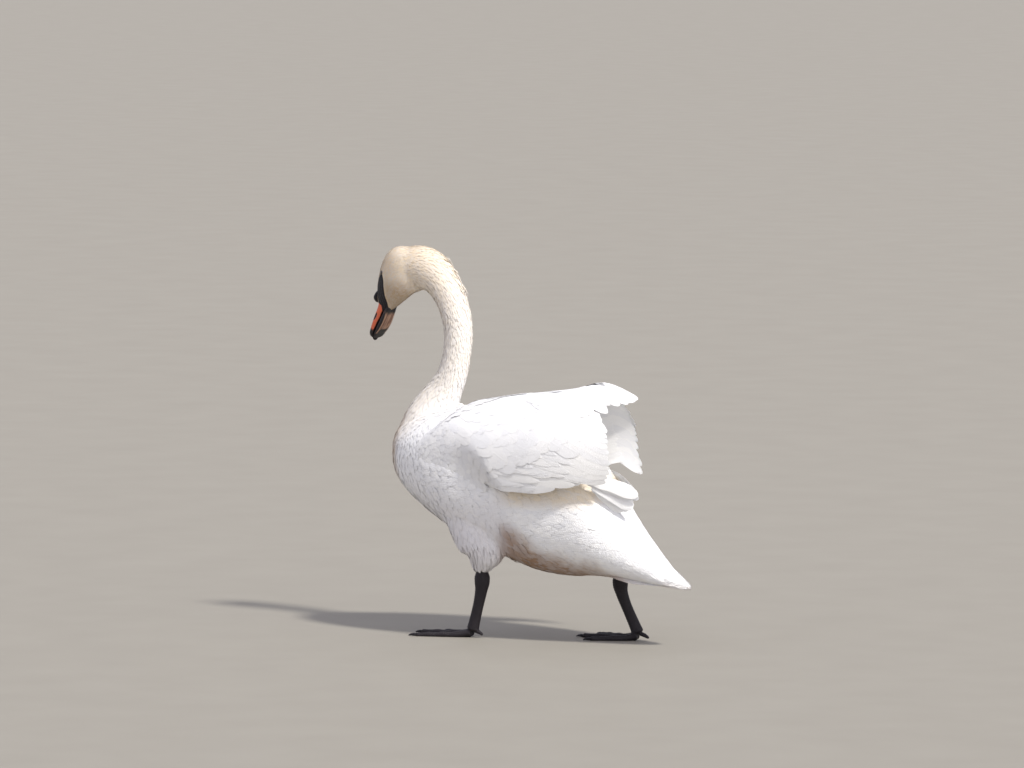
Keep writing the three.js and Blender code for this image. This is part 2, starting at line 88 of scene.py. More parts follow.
# The head's own frame: origin on the gape line at the feathers' edge, x forward along the
# bill, y to the swan's left, z towards the crown.
HEAD_PLACE = HOME + MM * np.array([-330.5, 15, 658.8])
HEAD_YAW, HEAD_PITCH = 15, 68  # degrees
SKULL = MM * np.array([
    [-143, -29, -4, 3], [-135, -45, 13, 17], [-121, -55, 25, 25.5], [-104, -62, 31, 29.5],
    [-84, -65, 33.5, 31], [-64, -62, 32.5, 29.5], [-44, -50, 30.5, 25.5], [-24, -36, 26.5, 19.5],
    [-8, -24, 20, 14], [5, -13.5, 10, 9], [10, -6, 2, 3],
])
# Rounds off the crown where the skull meets the neck.
CROWN = MM * np.array([[-258, 10, 757, 27, 27], [-278, 11.5, 758, 31, 29], [-298, 13, 755, 29, 27]])
# The bill's frame, which is bowed less than the skull's.
BILL_PLACE = HOME + MM * np.array([-321.5, 15, 658.7])
BILL_PITCH = 60
EYE = MM * np.array([-75, 19.5, 11])
EYE_WAY = np.array([0.16, 0.93, 0.33])
EYE_RADIUS = 6.5 * MM

# Folded wing, one side: [x, ridge z, ridge out, widest z, widest out, edge z, edge out].
WING_FRONT = [
    [-240, 428, 64, 364, 90, 334, 82], [-190, 460, 42, 366, 119, 306, 103],
    [-130, 474, 31, 368, 138, 292, 120], [-60, 488, 27, 372, 149, 290, 133],
    [20, 500, 26, 378, 154, 294, 140],
]
WING = {
    LEFT: MM * np.array(WING_FRONT + [
        [90, 506, 26, 386, 153, 303, 139], [150, 512, 28, 396, 144, 316, 127],
        [200, 518, 30, 404, 127, 322, 106], [240, 511, 33, 408, 106, 326, 82],
        [290, 494, 38, 410, 76, 336, 56],
    ]),
    RIGHT: MM * np.array(WING_FRONT + [
        [90, 506, 26, 392, 156, 326, 146], [150, 512, 28, 408, 157, 356, 148],
        [200, 514, 30, 408, 156, 334, 144], [240, 509, 33, 406, 152, 320, 138],
        [290, 494, 38, 414, 142, 332, 126],
    ]),
}
WING_THICK, WING_EDGE = 14 * MM, 3 * MM
# Places along and up the wing where the gap between its face and the body is measured.
GAP_X, GAP_UP = np.linspace(-0.26, 0.06, 65), np.linspace(-0.1, 1.25, 55)
# Rear edge of each folded wing, and of its tertials: [share of the arch from below, x].
WING_END = {
    LEFT: [[0, 0.244], [0.2, 0.258], [0.42, 0.256], [0.62, 0.238], [0.72, 0.224], [1, 0.224]],
    RIGHT: [[0, 0.206], [0.1, 0.192], [0.42, 0.178], [0.62, 0.170], [0.72, 0.166], [1, 0.168]],
}
TERTIAL_END = {
    LEFT: [[0.62, 0.214], [0.75, 0.264], [0.88, 0.292], [1, 0.266]],
    RIGHT: [[0.62, 0.168], [0.75, 0.182], [0.88, 0.192], [1, 0.190]],
}
# How deep the skin lies under the outline of the coat.
COAT = {"skull": 1.3 * MM, "neck": 1.6 * MM, "trunk": 2.0 * MM, "thigh": 2.8 * MM, "wing": 4 * MM}
SKIN_VOXEL = 3.4 * MM
# Where limbs, neck and head blend into each other: x, y, z and reach.
SOFT_SPOTS = MM * np.array([
    [-280, 5, 768, 34], [-272, 6, 735, 34], [-300, 8, 715, 26], [-100, -85, 240, 40], [-20, -75, 185, 34],
    [-60, -30, 185, 30], [60, 80, 190, 40], [10, 60, 190, 34], [130, 40, 155, 26],
])
SOFT_ROUNDS = 36

# ---------------------------------------------------------------- number tools


def unit(vectors):
    return vectors / np.maximum(np.linalg.norm(vectors, axis=-1, keepdims=True), 1e-12)


def smooth_step(value, low, high):
    share = np.clip((value - low) / (high - low), 0, 1)
    return share * share * (3 - 2 * share)


def signed_power(value, power):
    return np.sign(value) * np.abs(value) ** power


def grid(first, second):
    """Two arrays that hold every pairing of the given values."""
    return np.meshgrid(first, second, indexing="ij")


def through(rows):
    """A smooth function through rows [key, value...]: a monotone cubic for each column."""
    rows = np.asarray(rows, float)
    keys, values = rows[:, 0], rows[:, 1:]
    chord = np.diff(values, axis=0) / np.diff(keys)[:, None]
    before, after = chord[:-1], chord[1:]
    total = np.where(before + after == 0, 1, before + after)
    inner = np.where(before * after > 0, 2 * before * after / total, 0)
    slopes = np.concatenate([chord[:1], inner, chord[-1:]])

    def value_at(key):
        key = np.asarray(key, float)
        i = np.clip(np.searchsorted(keys, key, side="right") - 1, 0, len(keys) - 2)
        span = (keys[i + 1] - keys[i])[..., None]
        t = np.clip((key - keys[i])[..., None] / span, 0, 1)
        start = (1 + 2 * t) * (1 - t) ** 2 * values[i] + t * (1 - t) ** 2 * span * slopes[i]
        end = t * t * (3 - 2 * t) * values[i + 1] + t * t * (t - 1) * span * slopes[i + 1]
        return start + end

    return value_at


def curve_through(rows):
    """The same for one column: a function that gives plain numbers."""
    curve = through(rows)
    return lambda key: curve(key)[..., 0]


def spline(points):
    """A centripetal Catmull-Rom curve through points, as a function of a share from 0 to 1."""
    points = np.asarray(points, float)
    ends = 2 * points[[0, -1]] - points[[1, -2]]
    p = np.concatenate([ends[:1], points, ends[1:]])
    gap = np.sqrt(np.linalg.norm(np.diff(p, axis=0), axis=1))[:, None]
    a, b, c = gap[:-2], gap[1:-1], gap[2:]
    p0, p1, p2, p3 = p[:-3], p[1:-2], p[2:-1], p[3:]
    start = ((p1 - p0) / a - (p2 - p0) / (a + b) + (p2 - p1) / b) * b
    end = ((p2 - p1) / b - (p3 - p1) / (b + c) + (p3 - p2) / c) * b

    def point_at(share):
        place = np.clip(np.asarray(share, float), 0, 1) * len(p1)
        i = np.minimum(place.astype(int), len(p1) - 1)
        t = (place - i)[..., None]
        cubic = (2 * t**3 - 3 * t**2 + 1) * p1[i] + (t**3 - 2 * t**2 + t) * start[i]
        return cubic + (-2 * t**3 + 3 * t**2) * p2[i] + (t**3 - t**2) * end[i]

    return point_at


# ---------------------------------------------------------------- mesh tools


def joined(parts):
    """One (points, faces) from many, where faces is a list of arrays of one width each."""
    points, faces, start = [], [], 0
    for part_points, part_faces in parts:
        points.append(part_points)
        faces += [block + start for block in part_faces]
        start += len(part_points)
    return np.concatenate(points), faces


def grid_faces(rows, columns, closed):
    """Quads over a grid of points, whose columns close on themselves if asked."""
    row, column = grid(np.arange(rows - 1), np.arange(columns - (not closed)))
    after = (column + 1) % columns
    corners = [row * columns + column, row * columns + after]
    corners += [corners[1] + columns, corners[0] + columns]
    return np.stack(corners, axis=-1).reshape(-1, 4)


def loft(rings):
    """A closed body over rings of points, shaped (rings, sides, 3)."""
    rows, sides = rings.shape[:2]
    points = np.concatenate([rings.reshape(-1, 3), [rings[0].mean(0)], [rings[-1].mean(0)]])
    side = np.arange(sides)
    after = (side + 1) % sides
    last = (rows - 1) * sides
    first_cap = np.stack([after, side, np.full(sides, rows * sides)], axis=-1)
    last_cap = np.stack([last + side, last + after, np.full(sides, rows * sides + 1)], axis=-1)
    return points, [grid_faces(rows, sides, True), first_cap, last_cap]


def slab(outer, inner):
    """A closed curved plate between two grids of points of the same shape."""
    rows, columns = outer.shape[:2]
    points = np.concatenate([outer.reshape(-1, 3), inner.reshape(-1, 3)])
    top = grid_faces(rows, columns, False)
    rim = np.concatenate([
        np.arange(columns), np.arange(1, rows) * columns + columns - 1,
        (rows - 1) * columns + np.arange(columns - 2, -1, -1), np.arange(rows - 2, 0, -1) * columns,
    ])
    after = np.roll(rim, -1)
    depth = rows * columns
    wall = np.stack([rim, rim + depth, after + depth, after], axis=-1)
    return points, [top, top[:, ::-1] + depth, wall]


def signed_volume(points, faces):
    total = 0.0
    for block in faces:
        for i in range(1, block.shape[1] - 1):
            a, b, c = points[block[:, 0]], points[block[:, i]], points[block[:, i + 1]]
            total += float(np.einsum("ij,ij->i", a, np.cross(b, c)).sum())
    return total / 6


def outward(points, faces):
    """The faces, turned over where they all look inwards."""
    if signed_volume(points, faces) < 0:
        return [block[:, ::-1] for block in faces]
    return faces


def fill_mesh(name, points, faces):
    mesh = bpy.data.meshes.new(name)
    corners = np.concatenate([block.ravel() for block in faces]).astype(np.int32)
    widths = np.concatenate([np.full(len(block), block.shape[1]) for block in faces])
    starts = np.concatenate([[0], np.cumsum(widths)[:-1]]).astype(np.int32)
    mesh.vertices.add(len(points))
    mesh.vertices.foreach_set("co", np.asarray(points, np.float32).ravel())
    mesh.loops.add(len(corners))
    mesh.loops.foreach_set("vertex_index", corners)
    mesh.polygons.add(len(starts))
    mesh.polygons.foreach_set("loop_start", starts)
    mesh.polygons.foreach_set("use_smooth", np.ones(len(starts), bool))
    mesh.update(calc_edges=True)
    return mesh, corners


def crease(mesh, along, across):
    """Sharpens the rims of vanes, so that each shades as flat as it lies."""
    ends = np.zeros(len(mesh.edges) * 2, np.int32)
    mesh.edges.foreach_get("vertices", ends)
    first, second = ends.reshape(-1, 2).T
    side = (across[first] == across[second]) & (np.abs(across[first]) == 1)
    end = (along[first] == along[second]) & ((along[first] == 0) | (along[first] == 1))
    marks = mesh.attributes.new("sharp_edge", "BOOLEAN", "EDGE")
    marks.data.foreach_set("value", side | end)


def piece(name, points, faces, material, slot, replaces=(), uv=None, values=None, matrix=None):
    """A finished piece of the swan. Points are about the working origin, or in the frame
    that matrix gives."""
    placed = points if matrix is not None else points + HOME
    mesh, corners = fill_mesh(name, placed, outward(points, faces))
    if uv is not None:
        layer = mesh.uv_layers.new(name="OFBake")
        layer.data.foreach_set("uv", uv[corners].astype(np.float32).ravel())
    for key, value in (values or {}).items():
        attribute = mesh.attributes.new(key, "FLOAT", "POINT")
        attribute.data.foreach_set("value", value.astype(np.float32))
    if values:
        crease(mesh, values["along"], values["across"])
    mesh.materials.append(material)
    body = bpy.data.objects.new(name, mesh)
    if matrix is not None:
        body.matrix_world = matrix
    bpy.context.scene.collection.objects.link(body)
    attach(body, "root")
    if replaces:
        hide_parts(*replaces)
    return body


def mesh_arrays(mesh):
    points = np.zeros(len(mesh.vertices) * 3, np.float32)
    mesh.vertices.foreach_get("co", points)
    edges = np.zeros(len(mesh.edges) * 2, np.int32)
    mesh.edges.foreach_get("vertices", edges)
    corners = np.zeros(len(mesh.loops), np.int32)
    mesh.loops.foreach_get("vertex_index", corners)
    return points.reshape(-1, 3).astype(float), edges.reshape(-1, 2), corners.reshape(-1, 4)


def remeshed(name, parts, voxel, rounds, soft=False):
    """One even skin of quads round many closed parts, smoothed: (points, quads)."""
    points, faces = joined([(p, outward(p, f)) for p, f in parts])
    mesh, _ = fill_mesh(name, points, faces)
    rough = bpy.data.objects.new(name, mesh)
    bpy.context.scene.collection.objects.link(rough)
    modifier = rough.modifiers.new("even", "REMESH")
    modifier.mode = "VOXEL"
    modifier.voxel_size = voxel
    depsgraph = bpy.context.evaluated_depsgraph_get()
    even = bpy.data.meshes.new_from_object(rough.evaluated_get(depsgraph))
    points, edges, quads = mesh_arrays(even)
    bpy.data.objects.remove(rough)
    bpy.data.meshes.remove(even)
    points = smoothed(points, edges, rounds)
    return (softened(points, edges) if soft else points), quads


def neighbour_total(points, edges):
    """For each point, the sum of the points that an edge joins it to."""
    first, second = edges.T
    return np.stack([
        np.bincount(first, points[second, axis], len(points))
        + np.bincount(second, points[first, axis], len(points))
        for axis in range(3)
    ], axis=-1)


def softened(points, edges):
    """Points relaxed near the places where two limbs meet, to fill the crease between them."""
    weight = np.zeros(len(points))
    for *centre, reach in SOFT_SPOTS:
        away = np.linalg.norm(points - np.array(centre), axis=1)
        weight = np.maximum(weight, np.exp(-((away / reach) ** 2)))
    moved = np.flatnonzero(weight > 0.02)
    kept = edges[np.isin(edges, moved).any(1)]
    count = np.maximum(np.bincount(kept.ravel(), minlength=len(points)), 1)[moved, None]
    for _ in range(SOFT_ROUNDS):
        total = neighbour_total(points, kept)[moved]
        points[moved] += 0.5 * weight[moved, None] * (total / count - points[moved])
    return points


def smoothed(points, edges, rounds):
    """Points evened out along the mesh with no shrinking."""
    count = np.maximum(np.bincount(edges.ravel(), minlength=len(points)), 1)[:, None]
    for step in [0.5, -0.52] * rounds:
        points = points + step * (neighbour_total(points, edges) / count - points)
    return points


def corner_normals(points, quads):
    a, b, c, d = (points[quads[:, i]] for i in range(4))
    faces = np.cross(c - a, d - b)
    total = np.stack([
        sum(np.bincount(quads[:, i], faces[:, axis], len(points)) for i in range(4))
        for axis in range(3)
    ], axis=-1)
    return unit(total)


class Surface:
    """A skin that finds the nearest point on itself, with a smooth normal there."""

    def __init__(self, points, quads):
        self.points = points
        self.quads = quads
        self.normals = corner_normals(points, quads)
        self.tree = BVHTree.FromPolygons(points.tolist(), quads.tolist())

    def nearest(self, places):
        hits = [self.tree.find_nearest(Vector(place)) for place in places]
        found = np.array([hit[0] for hit in hits])
        normals = self.normals[self.quads[[hit[2] for hit in hits]]].mean(1)
        return found, unit(normals)

    def scatter(self, rng, spacing_at, wanted):
        """Roots spread over the skin, no two closer than the spacing there."""
        corners = self.points[self.quads]
        middle = corners.mean(1)
        diagonals = corners[:, 2:] - corners[:, :2]
        area = np.linalg.norm(np.cross(diagonals[:, 0], diagonals[:, 1]), axis=1)
        spacing = spacing_at(middle)
        weight = np.where(spacing > 0, area / np.maximum(spacing, 1e-4) ** 2, 0)
        chosen = rng.choice(len(middle), wanted, p=weight / weight.sum())
        u, v = rng.random((2, wanted, 1))
        a, b, c, d = (corners[chosen, i] for i in range(4))
        places = (a * (1 - u) + b * u) * (1 - v) + (d * (1 - u) + c * u) * v
        return places[spread(places, spacing[chosen])]


def spread(places, spacing):
    """The places to keep so that no two are closer than their spacing."""
    cell = float(spacing.max())
    cells = np.floor(places / cell).astype(int)
    taken, kept = {}, []
    around = [(i, j, k) for i in (-1, 0, 1) for j in (-1, 0, 1) for k in (-1, 0, 1)]
    rows = places.tolist()
    for index, (home, reach) in enumerate(zip(cells.tolist(), (spacing**2).tolist())):
        x, y, z = rows[index]
        near = False
        for i, j, k in around:
            for other in taken.get((home[0] + i, home[1] + j, home[2] + k), ()):
                px, py, pz = rows[other]
                if (px - x) ** 2 + (py - y) ** 2 + (pz - z) ** 2 < reach:
                    near = True
                    break
            if near:
                break
        if not near:
            taken.setdefault(tuple(home), []).append(index)
            kept.append(index)
    return np.array(kept)


# ---------------------------------------------------------------- body shapes


def end_shrink(share, rate, least):
    """How much smaller a body's first and last sections are, to round its ends."""
    return np.sqrt(np.clip(np.minimum(share, 1 - share) * rate, least, 1))


def sectioned(stations, rows, sides, bulge, grow=0.0):
    """A body of upright sections along x, a bulge over 2 squaring them a little."""
    section = through(stations)
    share = np.linspace(0, 1, rows)
    eased = (share + (1 - np.cos(np.pi * share)) / 2) / 2
    x = (stations[0][0] - grow) + (stations[-1][0] - stations[0][0] + 2 * grow) * eased
    low, high, half = section(x).T[..., None]
    turn = np.linspace(0, 2 * np.pi, sides, endpoint=False)
    across, upright = signed_power(np.cos(turn), 2 / bulge), signed_power(np.sin(turn), 2 / bulge)
    shrink = end_shrink(share, 60, 0.02)[:, None]
    y = np.maximum(half + grow, 1e-4) * shrink * across
    z = (low + high) / 2 + np.maximum((high - low) / 2 + grow, 1e-4) * shrink * upright
    return loft(np.stack([np.broadcast_to(x[:, None], y.shape), y, z], axis=-1))


def tube(stations, rows, sides, grow=0.0):
    """A tube along stations [x, y, z, depth radius, width radius]."""
    middle = spline(stations[:, :3])
    radius = through(np.column_stack([np.linspace(0, 1, len(stations)), stations[:, 3:]]))
    share = np.linspace(0, 1, rows)
    step = 1e-4
    forward = unit(middle(share + step) - middle(share - step))
    across = np.array([0.0, 1.0, 0.0])
    side = unit(across - forward * (forward @ across)[:, None])
    up = np.cross(forward, side)
    deep, wide = np.maximum(radius(share).T + grow, 1e-4)[..., None, None]
    shrink = end_shrink(share, 40, 0.05)[:, None, None]
    turn = np.linspace(0, 2 * np.pi, sides, endpoint=False)[None, :, None]
    ring = up[:, None] * deep * np.sin(turn) + side[:, None] * wide * np.cos(turn)
    return loft(middle(share)[:, None] + ring * shrink)


def frame_at(place, pitch):
    turn = Matrix.Rotation(math.radians(180 - HEAD_YAW), 4, "Z")
    return Matrix.Translation(Vector(place)) @ turn @ Matrix.Rotation(math.radians(pitch), 4, "Y")


HEAD = frame_at(HEAD_PLACE, HEAD_PITCH)
BILL_FRAME = frame_at(BILL_PLACE, BILL_PITCH)
HEAD_TURN = np.array(HEAD.to_3x3())
HEAD_ORIGIN = HEAD_PLACE - HOME


def from_head(points):
    """Head-frame points, about the working origin."""
    return points @ HEAD_TURN.T + HEAD_ORIGIN


def to_head(points):
    return (points - HEAD_ORIGIN) @ HEAD_TURN


# ---------------------------------------------------------------- folded wings

wing_sections = {side: through(WING[side]) for side in WING}
wing_front_low = curve_through([
    [-0.26, 0.366], [-0.19, 0.342], [-0.11, 0.322], [-0.05, 0.298], [0.0, 0.270], [0.03, 0.250],
])


# The top of the visible front is a slanting line through a place. The factors turn heights
# over the two lines into distances from them.
FRONT_X, FRONT_Z, FRONT_SLOPE, SHOULDER_X = -0.214, 0.386, 1.02, -0.236
ABOVE_FACTOR, BELOW_FACTOR = 1.43, 0.85


def wing_within(x, z):
    """How far inside the wing's visible front a place is: breast and neck cover the rest."""
    above = (FRONT_Z + FRONT_SLOPE * (x - FRONT_X) - z) / ABOVE_FACTOR
    below = (z - wing_front_low(x)) * BELOW_FACTOR
    return above, below, x - SHOULDER_X


def wing_shown(x, z):
    """1 where the folded wing stands proud of the body, 0 where it has sunk into it."""
    above, below, ahead = wing_within(x, z)
    blend = np.interp(x, [-0.15, -0.06, 0.0, 0.04, 0.08], [0.13, 0.12, 0.095, 0.05, 0.01])
    shown = smooth_step(above, 0.0, 0.030) * smooth_step(below / blend, 0.0, 1.0)
    return shown * smooth_step(ahead, 0.0, 0.07)


def wing_shape(side, x, up, proud):
    """A point on a folded wing's outer face, or proud of it. x runs from shoulder to tips,
    and up from 0 at the lower edge to 1 at the ridge."""
    rows = np.moveaxis(wing_sections[side](x), -1, 0)
    ridge_z, ridge_out, wide_z, wide_out, edge_z, edge_out = rows
    tuck = np.arccos((edge_out - ridge_out) / (wide_out - ridge_out))
    turn = -tuck + (np.pi / 2 + tuck) * up
    rise = np.where(turn < 0, (wide_z - edge_z) / np.sin(tuck), ridge_z - wide_z)
    out = ridge_out + (wide_out - ridge_out + proud) * np.cos(turn)
    z = wide_z + (rise + proud) * np.sin(turn)
    return np.stack([np.broadcast_to(x, out.shape), side * out, z], axis=-1)


RAY_START, RAY_LENGTH = 0.03, 0.12


def make_wing_gap():
    """How far the body's skin lies under the wing's outer face, over its front."""
    x, up = grid(GAP_X, GAP_UP)
    starts, ends = wing_shape(LEFT, x, up, RAY_START), wing_shape(LEFT, x, up, 0.0)
    ways = unit(ends - starts)
    gap = np.full(x.shape, WING_THICK)
    for spot in np.ndindex(x.shape):
        distance = body.tree.ray_cast(Vector(starts[spot]), Vector(ways[spot]), RAY_LENGTH)[3]
        if distance is not None:
            gap[spot] = distance - RAY_START
    return np.clip(gap - 1.5 * MM, -3 * MM, 45 * MM)


def wing_gap(x, up):
    """The gap between the grid's places."""
    row = np.clip((x - GAP_X[0]) / (GAP_X[1] - GAP_X[0]), 0, len(GAP_X) - 1.001)
    column = np.clip((up - GAP_UP[0]) / (GAP_UP[1] - GAP_UP[0]), 0, len(GAP_UP) - 1.001)
    i, j = row.astype(int), column.astype(int)
    u, v = row - i, column - j
    near = GAP[i, j] * (1 - v) + GAP[i, j + 1] * v
    far = GAP[i + 1, j] * (1 - v) + GAP[i + 1, j + 1] * v
    return near * (1 - u) + far * u


def wing_point(side, x, up, proud=0.0):
    """The same, but sunk to the body's skin past the wing's visible front."""
    x, up = np.broadcast_arrays(np.asarray(x, float), np.asarray(up, float))
    shown = wing_shown(x, wing_shape(side, x, up, 0.0)[..., 2])
    return wing_shape(side, x, up, proud - wing_gap(x, up) * (1 - shown))


def wing_step(side, place, angle):
    """How far x and up change for each metre along the wing at an angle above rearwards."""
    x, up = place[..., 0], place[..., 1]
    reach = 1e-4
    ahead = (wing_point(side, x + reach, up) - wing_point(side, x - reach, up)) / (2 * reach)
    rise = (wing_point(side, x, up + reach) - wing_point(side, x, up - reach)) / (2 * reach)
    rear = unit(ahead)
    lean = (rise * rear).sum(-1)
    climb = np.linalg.norm(rise - rear * lean[..., None], axis=-1)
    change_up = np.sin(angle) / climb
    change_x = (np.cos(angle) - change_up * lean) / np.linalg.norm(ahead, axis=-1)
    return np.stack([change_x, change_up], axis=-1)


fall_by_x = curve_through([[-0.24, 72], [-0.15, 58], [-0.05, 42], [0.05, 35], [0.15, 32], [0.29, 26]])
fall_by_up = curve_through([
    [-0.1, 0.15], [0, 0.28], [0.3, 0.8], [0.55, 1.0], [0.8, 0.7], [1, 0.3], [1.2, 0.1],
])


def wing_lie(place):
    """How steeply the wing's feathers run down as they run back, in radians."""
    return np.radians(fall_by_x(place[..., 0]) * fall_by_up(place[..., 1]))


def wing_depth(x):
    """Thickness of the folded wing, which thins to its free rear."""
    return WING_THICK + (WING_EDGE - WING_THICK) * smooth_step(x, 0.04, 0.215)


# ---------------------------------------------------------------- vanes
# Every feather is a closed thin vane. A section is points [share of the half width, share
# of the thickness] round it, and stations are shares of the feather's length.

TUFT_SECTION = np.array([[-1, 0], [0, 1], [1, 0], [0, -1]], float)
QUILL_SECTION = np.array([
    [-1, 0], [-0.5, 0.7], [0, 1.0], [0.5, 0.7], [1, 0], [0.5, -0.6], [0, -0.8], [-0.5, -0.6],
])


def vane_faces(count, stations, ring):
    start = (np.arange(count) * stations * ring)[:, None, None]
    row = (np.arange(stations - 1) * ring)[None, :, None]
    corner = np.arange(ring)[None, None, :]
    a = start + row + corner
    b = start + row + (corner + 1) % ring
    sides = np.stack([a, a + ring, b + ring, b], axis=-1).reshape(-1, 4)
    caps = []
    for j in range(1, ring - 2, 2):
        cap = np.arange(count)[:, None] * stations * ring + np.array([0, j, j + 1, j + 2])
        caps += [cap, cap[:, ::-1] + (stations - 1) * ring]
    return [sides] + caps


def vane_values(uv, shares, section, tone):
    """Per-point values of many vanes: their OFBake place, shares along and across, tone."""
    count, stations, ring = len(uv), len(shares), len(section)
    along = np.broadcast_to(np.asarray(shares)[None, :, None], (count, stations, ring))
    across = np.broadcast_to(section[None, None, :, 0], (count, stations, ring))
    patch = np.stack([(along - 0.5) * PATCH, across * PATCH / 2], axis=-1)
    placed = (uv[:, None, None] + patch).reshape(-1, 2)
    tones = np.broadcast_to(tone[:, None, None], (count, stations, ring))
    values = {"along": along.ravel(), "across": across.ravel(), "tone": tones.ravel()}
    return placed, values


PATCH = 0.003  # size of a vane's patch on the bake map


def body_vanes(centre, normal, across, half, lift, section, thick, cup=0.0):
    """Points of vanes laid along lines over the body: (feathers, stations, ring, 3)."""
    t, h = section.T
    side = half[..., None] * t
    height = lift[..., None] + thick * h - cup * half[..., None] * t * t
    out = across[:, :, None] * side[..., None]
    return centre[:, :, None] + out + normal[:, :, None] * height[..., None]


def wing_vanes(side, middle, half, lift, section, thick, roll, ragged, merge, rest):
    """Points of vanes laid along lines over a folded wing, in its own x and up."""
    t, h = section.T
    width = half[..., None] * np.where(np.abs(t) == 1, ragged, 1.0)
    lateral = wing_step(side, middle, np.pi / 2 - wing_lie(middle))
    place = middle[:, :, None] + lateral[:, :, None] * (width * t)[..., None]
    raised = lift[..., None] * (merge(place[..., 1]) if merge else 1) + rest
    return wing_point(side, place[..., 0], place[..., 1], raised + roll * t + thick * h)


# ---------------------------------------------------------------- the lie of the coat

neck_line = spline(NECK[::-1, :3])
NECK_START = 0.06  # the guide leaves out this share of the neck, which the head covers
SPINE_STEP, LEG_STEP, NEAREST = 10 * MM, 8 * MM, 4 * MM
SPINE_HEAD = MM * np.array([[12, 0, 4], [-40, 0, -2], [-86, 0, -8]])
SPINE_BACK = MM * np.array([
    [-185, 0, 335], [-130, 0, 325], [-50, 0, 315], [50, 0, 295], [150, 0, 250], [250, 0, 185],
    [340, 0, 135], [400, 0, 118],
])


def along_line(points, step):
    """Points and directions every step along a line through the points."""
    curve = spline(points)
    fine = curve(np.linspace(0, 1, 400))
    length = np.concatenate([[0], np.cumsum(np.linalg.norm(np.diff(fine, axis=0), axis=1))])
    marks = np.linspace(0, length[-1], max(3, round(length[-1] / step)))
    placed = np.stack([np.interp(marks, length, fine[:, axis]) for axis in range(3)], axis=-1)
    return placed, unit(np.gradient(placed, axis=0))


def make_guide():
    middle = neck_line(np.linspace(NECK_START, 1, 24))
    spine = np.concatenate([from_head(SPINE_HEAD), middle, SPINE_BACK])
    places, directions = along_line(spine, SPINE_STEP)
    share = np.linspace(0, 1, len(places))
    legs = []
    for side in (LEFT, RIGHT):
        line, heading = along_line(THIGHS[side][2:, :3], LEG_STEP)
        legs.append((line, heading))
    return places, directions, share, legs


GUIDE, GUIDE_WAY, GUIDE_SHARE, GUIDE_LEGS = make_guide()
LEG_LINES = np.concatenate([line for line, _ in GUIDE_LEGS])
LEG_WAYS = np.concatenate([way for _, way in GUIDE_LEGS])


def nearness(points, line):
    distance = np.linalg.norm(points[:, None] - line[None], axis=-1)
    return 1 / np.maximum(distance, NEAREST) ** 4


def spine_share(points):
    """How far along the spine each point is, from 0 at the bill to 1 at the tail tip."""
    weight = nearness(points, GUIDE)
    return (weight @ GUIDE_SHARE) / weight.sum(1)


def lie(points):
    """The way the coat runs at each point: back from the bill, down the neck, to the tail."""
    spine = nearness(points, GUIDE)
    legs = nearness(points, LEG_LINES) * 0.6
    return unit(spine @ GUIDE_WAY + legs @ LEG_WAYS)


def spine_turn(points):
    """The angle of each point round the spine, as a share of a turn."""
    nearest = np.argmin(np.linalg.norm(points[:, None] - GUIDE[None], axis=-1), axis=1)
    out = points - GUIDE[nearest]
    side = np.array([0.0, 1.0, 0.0])
    up = np.cross(GUIDE_WAY[nearest], side)
    return (np.arctan2((out * up).sum(-1), out @ side) / (2 * np.pi)) % 1


def comb(surface, roots, lengths, shares, stray):
    """Walks each feather's middle line over the skin along the lie of the coat."""
    places, normals = surface.nearest(roots)
    lines, uprights, sides = [], [], []
    for k, share in enumerate(shares):
        along = lie(places)
        along = unit(along - normals * (along * normals).sum(-1, keepdims=True))
        side = np.cross(normals, along)
        along = along * np.cos(stray)[:, None] + side * np.sin(stray)[:, None]
        lines.append(places)
        uprights.append(normals)
        sides.append(np.cross(normals, along))
        if k + 1 < len(shares):
            step = (shares[k + 1] - share) * lengths
            places, normals = surface.nearest(places + along * step[:, None])
    return (np.stack(each, axis=1) for each in (lines, uprights, sides))


# ---------------------------------------------------------------- materials

WHITE = (0.92, 0.92, 0.915, 1)
CREAM = (0.85, 0.67, 0.42, 1)
# Brown under the belly: a real stain, darkened further as painted shade under the body.
BELLY_STAIN_AND_SHADE = (0.31, 0.185, 0.105, 1)
# Painted shade: the beige shadow that the folded wings cast on the flanks.
PAINTED_WING_SHADE = (0.80, 0.70, 0.55, 1)
# Painted shade: greys the lower breast, which faces down and away from the light.
PAINTED_SHADE_GREY = (0.62, 0.58, 0.61, 1)
# Painted shade: browns the throat under the head and the front of the breast.
PAINTED_THROAT_SHADE = (0.46, 0.31, 0.15, 1)
SHADOW_TINT = (0.70, 0.72, 0.78, 1)
DEEP_ORANGE, PALE_ORANGE = (0.60, 0.085, 0.035, 1), (0.80, 0.20, 0.085, 1)
HORN_BLACK = (0.006, 0.005, 0.007, 1)
DARK_TAN, PALE_TAN = (0.16, 0.075, 0.045, 1), (0.46, 0.28, 0.19, 1)
PUPIL_BLACK, IRIS_BROWN = (0.004, 0.003, 0.003, 1), (0.045, 0.018, 0.009, 1)
LEG_BLACK = (0.010, 0.008, 0.010, 1)


class Value:
    """An output of a material's nodes, which adds, multiplies and so on as a number does."""

    def __init__(self, look, socket):
        self.look = look
        self.socket = socket

    def using(self, operation, other=0.0):
        return self.look.node("ShaderNodeMath", {0: self, 1: other}, operation=operation)

    def __add__(self, other):
        return self.using("ADD", other)

    def __sub__(self, other):
        return self.using("SUBTRACT", other)

    def __mul__(self, other):
        return self.using("MULTIPLY", other)

    def __truediv__(self, other):
        return self.using("DIVIDE", other)

    def __abs__(self):
        return self.using("ABSOLUTE")

    def or_more(self, other):
        return self.using("MAXIMUM", other)

    def ramp(self, low, high, start=0.0, end=1.0):
        """Eases from start to end while this value goes from low to high."""
        inputs = {"Value": self, "From Min": low, "From Max": high, "To Min": start, "To Max": end}
        return self.look.node("ShaderNodeMapRange", inputs, interpolation_type="SMOOTHSTEP")


